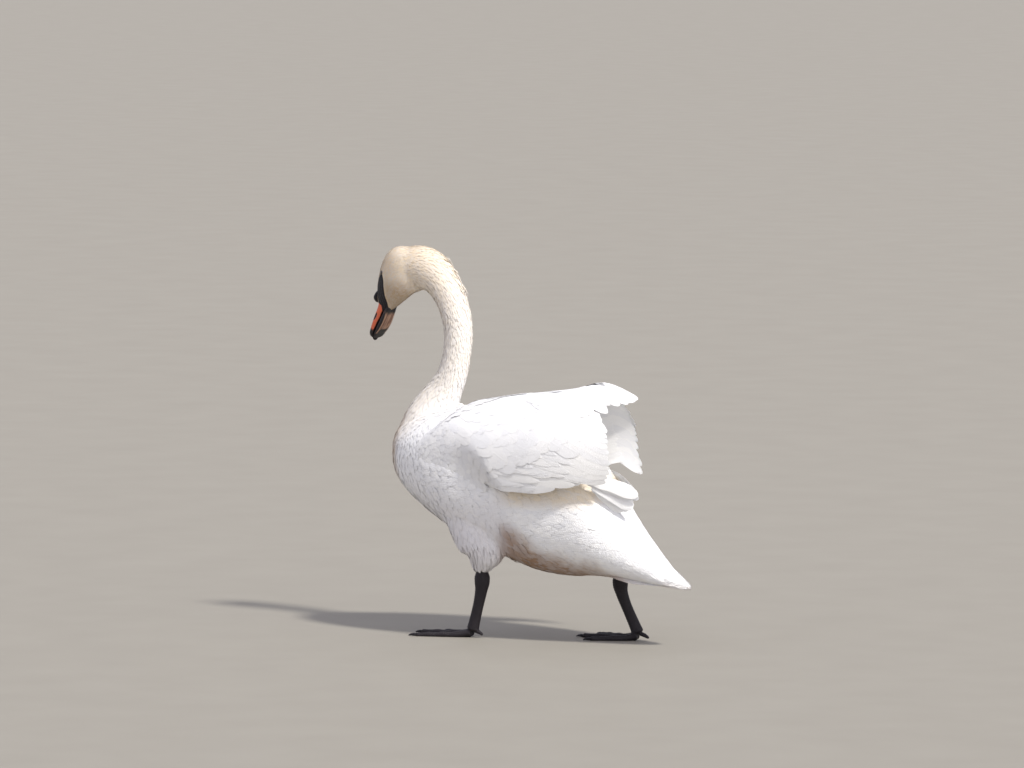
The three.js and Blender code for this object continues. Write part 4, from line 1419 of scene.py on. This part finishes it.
def lay_lesser(side, rng):
    """Small feathers on the wing's front, and larger ones on the saddle behind it."""
    end, small = curve_through(WING_END[side]), Vanes()

    def front(x, up):
        return x < -0.075 + 0.05 * np.sin(up * 7)

    def saddle(x, up):
        rear = np.minimum(0.135, end(np.clip(up, 0, 1)) - 0.098)
        return ~front(x - 0.02, up) & (up > 0.20 + 0.24 * smooth_step(x, -0.06, 0.11)) & (x < rear)

    wing_field(small, side, saddle, (0.013, 0.0145), (0.062, 0.085), 0.20, (-2.6 * MM, -0.5 * MM), rng)
    wing_field(small, side, front, (0.0070, 0.0100), (0.030, 0.052), 0.22, (-2.2 * MM, -0.4 * MM), rng)
    small.finish(f"wing_{NAMES[side]}_lesser", [])


def tertial_merge(side):
    """How much of their height the tertials keep, as a function of the place up the wing."""
    sink = WING_STYLE[side]["sink"]
    return lambda up: smooth_step(up, 0.58, 0.90) * (1 - smooth_step(up, sink, 1.12))


def lay_tertials(side, rng):
    style, tertials = WING_STYLE[side], Vanes()
    ups = np.linspace(0.50, style["top"], TERTIALS)
    x = curve_through(TERTIAL_END[side])(np.minimum(ups, 1.0)) + rng.normal(0, style["uneven"], TERTIALS)
    lengths = np.full(TERTIALS, style["length"]) * (1 + rng.normal(0, 0.05, TERTIALS))
    middle = walk_back(side, np.stack([x, ups], axis=-1), lengths, QUILL_SHARES)
    halves = np.tile(TERTIAL_HALF * quill_widths(QUILL_SHARES, 0.42), (TERTIALS, 1))
    lift = np.tile(tertial_arch(QUILL_SHARES) * style["stand"] * MM, (TERTIALS, 1))
    stack = MM * np.linspace(-0.6, 0.6, TERTIALS)[:, None, None]
    tertials.add(side, middle, halves, lift, 0.15 * MM, -0.1 * MM, rng, 0.15, tertial_merge(side), stack)
    tertials.finish(f"wing_{NAMES[side]}_tertial_vanes", [f"wing_{NAMES[side]}_tertials"])


def lay_under(side, rng):
    low, under = WING_STYLE[side]["low"], Vanes()
    tips = [[x - 0.003, up] for x, up in edge_tips(side, low, 0.99, FLIGHT_GAP, rng)]
    wing_row(under, side, tips, 0.13, 0.0125, (-4.4 * MM, -4.0 * MM), rng, 0.6, inner=True)
    for reach, lift in LINING_ROWS:
        tips = [[x - reach, up] for x, up in edge_tips(side, low, 0.99, LINING_GAP, rng)]
        lifts = ((lift - 0.4) * MM, lift * MM)
        wing_row(under, side, tips, 0.075, 0.0120, lifts, rng, 0.5, inner=True)
    under.finish(f"wing_{NAMES[side]}_under", [])


def lay_sheets(side):
    """Thin plain sheets inside the wing, which close the view between its feathers."""
    style, end, over = WING_STYLE[side], curve_through(WING_END[side]), curve_through(TERTIAL_END[side])
    merge = tertial_merge(side)

    def sheet(name, shares, ups, place):
        share, up = grid(shares, ups)
        x, outer, inner = place(share, up)
        body = slab(wing_point(side, x, up, outer), wing_point(side, x, up, inner))
        piece(f"wing_{NAMES[side]}_{name}", *body, DOWN, "wing_feathers")

    def within(share, front, rear, outer, inner):
        x = front + (rear - SHEET_INSET - front) * share
        return x, -outer * wing_depth(x), -inner * wing_depth(x)

    def web(share, up):
        return within(share, 0.05, end(up), 0.45, 0.62)

    def ridge(share, up):
        return within(share, -0.19, end(1.0), 0.14, 0.28)

    def tertial_web(share, up):
        lift = tertial_arch(share) * style["stand"] * MM * merge(up)
        return over(np.minimum(up, 1.0)) - style["length"] * (1 - share), lift - 0.8 * MM, lift - 1.3 * MM

    foot = max(0.06, style["low"] + 0.03)
    sheet("web", np.linspace(0, 1, 40), np.linspace(foot, 0.98, 40), web)
    sheet("ridge", np.linspace(0, 1, 60), np.linspace(0.92, 1.14, 16), ridge)
    sheet("tertial_web", np.linspace(0.30, 0.93, 40), np.linspace(0.62, 1.14, 40), tertial_web)


for side in (LEFT, RIGHT):
    rng = np.random.default_rng(40 + side)
    for lay in (lay_flight, lay_coverts, lay_lesser, lay_tertials, lay_under):
        lay(side, rng)
    lay_sheets(side)

# ---------------------------------------------------------------- long loose feathers: primaries and tail


def straight_vanes(starts, ends, normals, half, sag, rng, blunt=0.75):
    """Vanes from root to tip points, which sag a little along their length."""
    t = QUILL_SHARES[None, :, None]
    centre = starts[:, None] * (1 - t) + ends[:, None] * t
    centre = centre + np.array([0, 0, 1.0]) * (sag * np.sin(np.pi * t))
    way = unit(np.gradient(centre, axis=1))
    up = unit(normals)[:, None] - way * (unit(normals)[:, None] * way).sum(-1, keepdims=True)
    up = unit(up)
    across = np.cross(up, way)
    halves = np.tile(half * quill_widths(QUILL_SHARES, blunt), (len(starts), 1))
    halves = halves * (1 - 0.12 * rng.random(halves.shape) * (rng.random(halves.shape) > 0.6))
    return body_vanes(centre, up, across, halves, np.zeros_like(halves), QUILL_SECTION, 0.35 * MM, 0.12)


# Root and tip of the topmost and of the lowest primary of each wing.
PRIMARY_LINES = {
    LEFT: MM * np.array([[[204, 84, 337], [293, 34, 305]], [[214, 76, 322], [278, 30, 272]]]),
    RIGHT: MM * np.array([[[150, 102, 336], [262, 26, 294]], [[148, 98, 316], [250, 26, 276]]]),
}
# Each primary's share of the way from the topmost to the lowest, and how far it ends short.
PRIMARY_SHARES = np.array([0.0, 0.10, 0.22, 0.78, 0.90, 1.0])[:, None]
PRIMARY_SHORT = MM * np.array([0, 8, 18, 2, 10, 22])


def lay_primaries(side):
    rng, primaries = np.random.default_rng(70 + side), Vanes()
    top, low = PRIMARY_LINES[side] * [1, side, 1]
    starts, ends = (top[i] * (1 - PRIMARY_SHARES) + low[i] * PRIMARY_SHARES for i in (0, 1))
    ends[:, 0] -= PRIMARY_SHORT
    normals = np.tile([0.25, side * 1.0, 0.30], (len(starts), 1))
    points = straight_vanes(starts, ends, normals, 0.0145, 0.006, rng)
    primaries.add_points(points, starts[:, [0, 2]], rng)
    primaries.finish(f"wing_{NAMES[side]}_primary_vanes", [f"wing_{NAMES[side]}_primaries"])


def lay_tail():
    rng, rectrices = np.random.default_rng(90), Vanes()
    place = np.concatenate([np.linspace(-1, -0.05, 11), np.linspace(0.05, 1, 11)])
    out, way = np.abs(place), np.sign(place)
    starts = np.stack([0.225 - 0.01 * out, 0.034 * place, 0.155 - 0.004 * out], axis=-1)
    tips = [TAIL_TIP - 0.100 * out**1.25, 0.030 * way * out**0.9, 0.1215 + 0.008 * out]
    normals = np.stack([0.15 + 0 * out, 0.45 * place, 1 + 0 * out], axis=-1)
    points = straight_vanes(starts, np.stack(tips, axis=-1), normals, 0.0110, -0.001, rng, 0.6)
    rectrices.add_points(points, starts[:, :2], rng)
    rectrices.finish("tail_vanes", [])


for side in (LEFT, RIGHT):
    lay_primaries(side)
lay_tail()

# ---------------------------------------------------------------- bill, knob, lores and eyes

# Sections in the bill's frame: [forward, lower edge, upper edge, half width].
BILL_UPPER = MM * np.array([
    [-34, 6, 20, 13.5], [-28, 3, 24, 15.2], [-20, 1.5, 25.5, 15.8], [-12, 1, 25, 15.6],
    [-4, 0.4, 22.5, 15.3], [6, 0, 19.5, 15.1], [16, 0, 18.4, 15.4], [26, 0, 17.5, 16], [46, 0, 14.5, 17],
    [61, -0.5, 12, 17], [69, -1, 9.5, 14], [74, -2, 6, 6.5],
])
BILL_LOWER = MM * np.array([
    [-26, -12, -0.6, 11], [0, -14, -0.6, 13.5], [25, -14.5, -0.6, 15.5], [45, -11.5, -0.8, 16],
    [59, -7, -1.2, 15], [67, -5, -1.8, 12], [71, -3.5, -2.2, 6],
])
NOSTRIL_DEPTH, GROOVE_DEPTH = 1.6 * MM, 1.8 * MM
CHEEK_DEPTH, CHEEK_Z = 0.7 * MM, 0.004  # a hollow along the upper bill, over its cutting edge
KNOB = {"forward": -0.015, "up": 0.024, "length": 0.013, "width": 0.0105, "height": 0.0095}
NAIL = {"forward": 0.070, "up": 0.0022, "length": 0.009, "width": 0.0075, "height": 0.0044}


def ball(rows, sides, place):
    """A closed round body: place(polar, turn) gives each point."""
    polar = np.linspace(0.02, np.pi - 0.02, rows)[:, None]
    turn = np.linspace(0, 2 * np.pi, sides, endpoint=False)[None]
    return loft(place(polar, turn))


def build_bill():
    points, faces = sectioned(BILL_UPPER, 140, 72, 2.5)
    x, y, z = points.T
    near = ((x - NOSTRIL_X) / 0.0075) ** 2 + ((z - NOSTRIL_Z) / 0.0022) ** 2
    pull = NOSTRIL_DEPTH * np.exp(-near**2) * (np.abs(y) > 0.004)
    along = smooth_step(x, 0.0, 0.015) * smooth_step(-x, -0.06, -0.04)
    cheek = CHEEK_DEPTH * along * np.exp(-(((z - CHEEK_Z) / CHEEK_Z) ** 2))
    points[:, 1] -= np.sign(y) * (pull + cheek * 0.6)
    piece("bill_upper_horn", points, faces, BILL, "bill", ["bill_upper"], matrix=BILL_FRAME)

    points, faces = sectioned(BILL_LOWER, 100, 56, 2.6)
    x, y, z = points.T
    groove = smooth_step(-np.abs(y), -0.009, -0.003) * smooth_step(-z, 0.004, 0.007)
    points[:, 2] += GROOVE_DEPTH * groove * smooth_step(-x, -0.055, -0.03)
    piece("bill_lower_horn", points, faces, LOWER_BILL, "bill_lower", ["bill_lower"], matrix=BILL_FRAME)

    def knob(polar, turn):
        swell = 1 + 0.04 * np.sin(3 * turn + 1) * np.sin(polar) ** 2 + 0.03 * np.cos(5 * polar)
        x = KNOB["forward"] + KNOB["length"] * np.cos(polar) * swell + 0 * turn
        y = KNOB["width"] * np.sin(polar) * np.cos(turn) * swell
        z = KNOB["up"] + KNOB["height"] * np.sin(polar) * np.sin(turn) * swell
        return np.stack([x, y, z], axis=-1)

    piece("bill_knob_skin", *ball(40, 40, knob), FACE_BLACK, "black_skin", ["bill_knob"], matrix=HEAD)

    def nail(polar, turn):
        x = NAIL["forward"] + NAIL["length"] * np.cos(polar) + 0 * turn
        y = NAIL["width"] * np.sin(polar) * np.cos(turn)
        hook = -1.6 * MM * smooth_step(x, 0.072, 0.079)
        z = NAIL["up"] + NAIL["height"] * np.sin(polar) * np.sin(turn) + hook
        return np.stack([x, y, z], axis=-1)

    piece("bill_nail_horn", *ball(36, 36, nail), HORN, "horn", ["bill_nail"], matrix=BILL_FRAME)


def build_lores(side):
    """Thin bare skin over the skull from the eye to the gape."""
    share, height = grid(np.linspace(0, 1, 90), np.linspace(0, 1, 40))
    x = LORE_START + (LORE_END - LORE_START) * share
    turn = lore_foot(x) + (lore_top(x) - lore_foot(x)) * height
    edge = np.minimum(np.minimum(height, 1 - height) * 8, np.minimum(share, 1 - share) * 30)
    wrinkle = 0.25 * MM * np.sin(height * 26 + share * 9) * np.clip(edge, 0, 1)
    outer = skull_point(x, turn, side, -0.7 * MM - 0.5 * MM * (1 - np.clip(edge, 0, 1)) + wrinkle)
    inner = skull_point(x, turn, side, np.full_like(x, -2.4 * MM))
    piece(f"lores_{NAMES[-side]}", *slab(outer, inner), FACE_BLACK, "black_skin", matrix=HEAD)


# The lids' opening, in radians from the line of sight: wider at the corners, narrower above.
LID_OPENING, LID_CORNER, LID_DROP, LID_REACH = 0.66, 0.13, 0.05, 1.2
LID_LIFT, LID_SWELL = 0.25 * MM, 0.4 * MM


def build_eye(side):
    """side is +1 on the left of the head. The eye looks out, and a little up and forward."""
    centre = EYE * [1, side, 1]
    look_way = unit(EYE_WAY * [1, side, 1])
    frame_z = unit(np.array([0, 0, 1.0]) - look_way * look_way[2])
    frame_x = np.cross(look_way, frame_z)
    turn = Matrix(np.column_stack([frame_x, look_way, frame_z]).tolist()).to_4x4()
    local = HEAD @ Matrix.Translation(Vector(centre)) @ turn
    name = NAMES[-side]

    def eyeball(polar, turn):
        swell = 1 + 0.05 * np.exp(-((polar / 0.6) ** 2))
        reach = EYE_RADIUS * 0.985 * swell
        flat = np.sin(polar) * np.cos(turn), np.cos(polar) + 0 * turn, np.sin(polar) * np.sin(turn)
        return reach[..., None] * np.stack(flat, axis=-1)

    piece(f"eye_ball_{name}", *ball(40, 48, eyeball), EYE_WET, "eye", [f"eye_{name}"], matrix=local)
    round_turn = np.linspace(0, 2 * np.pi, 72, endpoint=False)
    corner = np.abs(np.cos(round_turn)) ** 3
    opening = LID_OPENING + LID_CORNER * corner - LID_DROP * np.sin(round_turn)
    depth = np.linspace(0, 1, 14)[:, None]
    polar = opening[None] + (LID_REACH - opening[None]) * depth
    swell = LID_SWELL * np.exp(-((depth / 0.22) ** 2)) * (depth > 0.02)
    outer = EYE_RADIUS + LID_LIFT + swell
    shell = [np.sin(polar) * np.cos(round_turn), np.cos(polar), np.sin(polar) * np.sin(round_turn)]
    shell = np.stack(shell, axis=-1)
    outside, inside = shell * outer[..., None], shell * (EYE_RADIUS * 0.97)
    rings = np.concatenate([outside[::-1], inside])
    points = rings.reshape(-1, 3)
    rows, sides = rings.shape[:2]
    quads = grid_faces(rows, sides, True)
    last = (rows - 1) * sides + np.arange(sides)
    close = np.stack([last, np.roll(last, -1), np.roll(np.arange(sides), -1), np.arange(sides)], axis=-1)
    piece(f"eye_lids_{name}", points, [quads, close], FACE_BLACK, "black_skin", matrix=local)


build_bill()
for side in (1, -1):
    build_lores(side)
    build_eye(side)

# ---------------------------------------------------------------- legs and feet

LEGS = {
    LEFT: {"top": [-55, -60, 152], "hock": [-55, -60, 108], "toe": [-77, -60, 13], "yaw": 4},
    RIGHT: {"top": [203, 62, 146], "hock": [201, 61, 106], "toe": [243, 60, 13], "yaw": -3},
}
# Share of the leg's length, depth radius, width radius.
SHANK = [
    [0, 12, 11], [0.2, 13, 12], [0.34, 16.5, 13.5], [0.46, 16, 12.5], [0.58, 13, 10],
    [0.75, 11.5, 8.5], [0.9, 12, 9.5], [1, 13.5, 11],
]
# Toes: turn outwards in degrees, length and root radius in mm, joints.
TOES = {"inner": (-25, 98, 7, 2), "middle": (0, 126, 8, 3), "outer": (24, 118, 7, 4)}
CLAW_LENGTH, CLAW_RADIUS = 13 * MM, 3.2 * MM
WEB_THICK = 3 * MM
SHANK_SCUTE, TOE_SCUTE = 5.2 * MM, 5.0 * MM  # how far apart the raised scutes are
GRAIN_RISE, SHANK_RISE, TOE_RISE = 0.18 * MM, 0.28 * MM, 0.30 * MM
LEG_VOXEL = 1.3 * MM
KNUCKLE, TOE_TAPER, WEB_SAG = 0.13, 0.42, 0.17  # as shares of girth, girth and reach


def shank_body(leg):
    points = MM * np.array([leg["top"], leg["hock"], leg["toe"]], float)
    path = spline(points)
    size = through(SHANK)
    share = np.linspace(0, 1, 60)
    stations = np.column_stack([path(share), size(share) * MM])
    return tube(stations, 120, 40)


def toe_line(leg, side, toe):
    turn, length, radius, joints = TOES[toe]
    heading = math.radians(leg["yaw"] + side * turn)
    way = np.array([-math.cos(heading), math.sin(heading), 0])
    root = MM * np.array([leg["toe"][0], leg["toe"][1], 0]) + way * 2 * MM
    return root, way, length * MM, radius * MM, joints


def toe_body(leg, side, toe):
    root, way, length, radius, joints = toe_line(leg, side, toe)
    share = np.linspace(0, 1, 40)
    knuckle = 1 + KNUCKLE * np.abs(np.cos(np.pi * joints * share)) ** 4 * (share < 0.97)
    girth = radius * (1 - TOE_TAPER * share) * knuckle * np.where(share > 0.97, 0.6, 1)
    toe_height = leg["toe"][2] * MM
    rise = toe_height * 0.8 + (girth * 0.72 - toe_height * 0.8) * np.minimum(1, share * 4)
    centre = root + way * (length * share)[:, None]
    centre[:, 2] = rise
    return tube(np.column_stack([centre, girth, girth]), 90, 28)


def web_body(leg, side):
    """The web: a rippled sheet between the toes, hung between their tips in shallow curves."""
    heel = MM * np.array([leg["toe"][0] - 4, leg["toe"][1], 0])
    tips = []
    for toe in TOES:
        root, way, length, _, _ = toe_line(leg, side, toe)
        tips.append(root + way * length * 0.93)
    rim = []
    for first, second in zip(tips[:-1], tips[1:]):
        for share in np.linspace(0, 1, 15)[:-1]:
            sag = 1 - WEB_SAG * math.sin(math.pi * share)
            rim.append(heel + (first * (1 - share) + second * share - heel) * sag)
    rim = np.array(rim + [tips[-1]])
    reach = np.linspace(0.0, 1, 40)[:, None, None]
    flat = heel + (rim - heel)[None] * (0.03 + 0.97 * reach)
    across = np.linspace(0, 2 * np.pi * 2, len(rim))[None]
    swell = 0.5 * MM * np.sin(across * 3 + reach[..., 0] * 5) * reach[..., 0]
    top, low = flat.copy(), flat.copy()
    top[..., 2] = WEB_THICK * 0.85 + swell * 0.5
    low[..., 2] = 0.0
    return slab(top, low)


def hind_toe_body(leg):
    share = np.linspace(0, 1, 12)
    drop = np.interp(share, [0, 0.5, 1], [0, -3, -8])
    x = leg["toe"][0] + 4 + share * 20
    size = 4.5 * np.interp(share, [0, 0.5, 1], [1, 0.95, 0.55])
    line = np.column_stack([x, np.full(12, leg["toe"][1]), 15 + drop, size, size])
    return tube(MM * line, 40, 20)


def scaled_leg(points, normals, leg):
    """Raised scutes down the front of the leg and along the toes, fine grain elsewhere."""
    grain = np.sin(points[:, 0] * 1900) * np.sin(points[:, 1] * 1700 + 1) * np.sin(points[:, 2] * 1800 + 2)
    rings = np.sin(points[:, 2] * 2 * np.pi / SHANK_SCUTE) * smooth_step(points[:, 2], 0.02, 0.035)
    front = smooth_step(-normals[:, 0], 0.1, 0.7)
    walk = np.hypot(points[:, 0] - leg["toe"][0] * MM, points[:, 1] - leg["toe"][1] * MM)
    steps = np.sin(walk * 2 * np.pi / TOE_SCUTE) * smooth_step(normals[:, 2], 0.2, 0.7)
    steps = steps * (points[:, 2] < 0.02) * smooth_step(points[:, 2], 0.003, 0.005)
    rise = GRAIN_RISE * grain + SHANK_RISE * rings * front + TOE_RISE * steps
    return points + normals * rise[:, None]


def claw_body(leg, side, toe):
    root, way, length, _, _ = toe_line(leg, side, toe)
    tip = root + way * length
    share = np.linspace(0, 1, 20)
    along = np.interp(share, [0, 0.33, 0.67, 1], [-0.35, 0.1, 0.6, 1]) * CLAW_LENGTH
    lift = np.interp(share, [0, 0.33, 0.67, 1], [0.4, 0.6, 0.2, -1.6]) * MM
    girth = CLAW_RADIUS * np.interp(share, [0, 0.33, 0.67, 1], [0.6, 1, 0.7, 0.3])
    centre = tip + way * along[:, None]
    centre[:, 2] = CLAW_RADIUS + lift
    points, faces = tube(np.column_stack([centre, girth, girth]), 36, 20)
    points[:, 2] = np.maximum(points[:, 2], 0)
    return points, faces


for side in (LEFT, RIGHT):
    leg, name = LEGS[side], NAMES[side]
    parts = [shank_body(leg), web_body(leg, side), hind_toe_body(leg)]
    parts += [toe_body(leg, side, toe) for toe in TOES]
    points, quads = remeshed(f"leg_form_{name}", parts, LEG_VOXEL, 3)
    points = scaled_leg(points, corner_normals(points, quads), leg)
    points[:, 2] = np.where(points[:, 2] < 0.9 * MM, 0, points[:, 2])
    piece(f"leg_{name}", points, [quads], LEG_SKIN, "leg_skin", [f"shank_{name}", f"foot_{name}"])
    for toe in TOES:
        points, faces = claw_body(leg, side, toe)
        piece(f"claw_horn_{name}_{toe}", points, faces, CLAW_HORN, "horn", [f"claw_{name}_{toe}"])

# ---------------------------------------------------------------- floor, light and camera

AZIMUTH, ELEVATION, DISTANCE = math.radians(30), math.radians(5), 14.0
PIXEL = 2.04 * MM  # size of a pixel of the view at the bird
VIEW_SIZE = (1024, 768)
ORIGIN_PIXEL = (520, 636.5)  # where the working origin falls in the view
SENSOR = 36.0
FLOOR_TONES = (0.265, 0.248, 0.212, 1), (0.30, 0.283, 0.243, 1)
FLOOR_HALF = 60.0

right = Vector((math.cos(AZIMUTH), math.sin(AZIMUTH), 0))
level = math.cos(ELEVATION)
back = Vector((math.sin(AZIMUTH) * level, -math.cos(AZIMUTH) * level, math.sin(ELEVATION)))
upward = back.cross(right)


def build_camera():
    data = bpy.data.cameras.new("camera")
    data.sensor_width = SENSOR
    data.lens = SENSOR * DISTANCE / (VIEW_SIZE[0] * PIXEL)
    data.clip_end = 200
    camera = bpy.data.objects.new("camera", data)
    middle = Vector(HOME)
    middle += right * (VIEW_SIZE[0] / 2 - ORIGIN_PIXEL[0]) * PIXEL
    middle += upward * (ORIGIN_PIXEL[1] - VIEW_SIZE[1] / 2) * PIXEL
    camera.matrix_world = Matrix.Translation(middle + back * DISTANCE) @ Matrix(
        (right, upward, back)
    ).transposed().to_4x4()
    bpy.context.scene.collection.objects.link(camera)
    bpy.context.scene.camera = camera


def sun_light(name, direction, strength, spread_degrees, colour):
    """A soft distant light, as even as a very large studio lamp."""
    data = bpy.data.lights.new(name, "SUN")
    data.energy = strength
    data.angle = math.radians(spread_degrees)
    data.color = colour
    lamp = bpy.data.objects.new(name, data)
    lamp.rotation_euler = Vector(direction).to_track_quat("Z", "Y").to_euler()
    bpy.context.scene.collection.objects.link(lamp)


def build_floor():
    look = Look("pale_floor", Roughness=0.75)
    look.colour(look.mix(look.noise(look.place(), 6.0, 5.0), *FLOOR_TONES))
    corners = FLOOR_HALF * np.array([[-1, -1, 0], [1, -1, 0], [1, 1, 0], [-1, 1, 0]])
    mesh, _ = fill_mesh("floor", corners, [np.array([[0, 1, 2, 3]])])
    mesh.materials.append(look.material)
    floor = bpy.data.objects.new("floor", mesh)
    bpy.context.scene.collection.objects.link(floor)


def build_world():
    world = bpy.data.worlds.new("studio")
    world.use_nodes = True
    sky = world.node_tree.nodes["Background"]
    sky.inputs["Color"].default_value = (0.87, 0.87, 1.0, 1)
    sky.inputs["Strength"].default_value = 0.72
    bpy.context.scene.world = world
    bpy.context.scene.view_settings.view_transform = "Standard"


build_camera()
build_floor()
build_world()
over = Vector((0, 0, 1))
sun_light("key", back * 0.80 + right * 0.68 + over * 1.32, 3.4, 6, (1.0, 0.96, 0.90))
sun_light("fill", back * 0.85 + right * 0.60 + over * 0.14, 1.0, 70, (1.0, 0.98, 0.95))
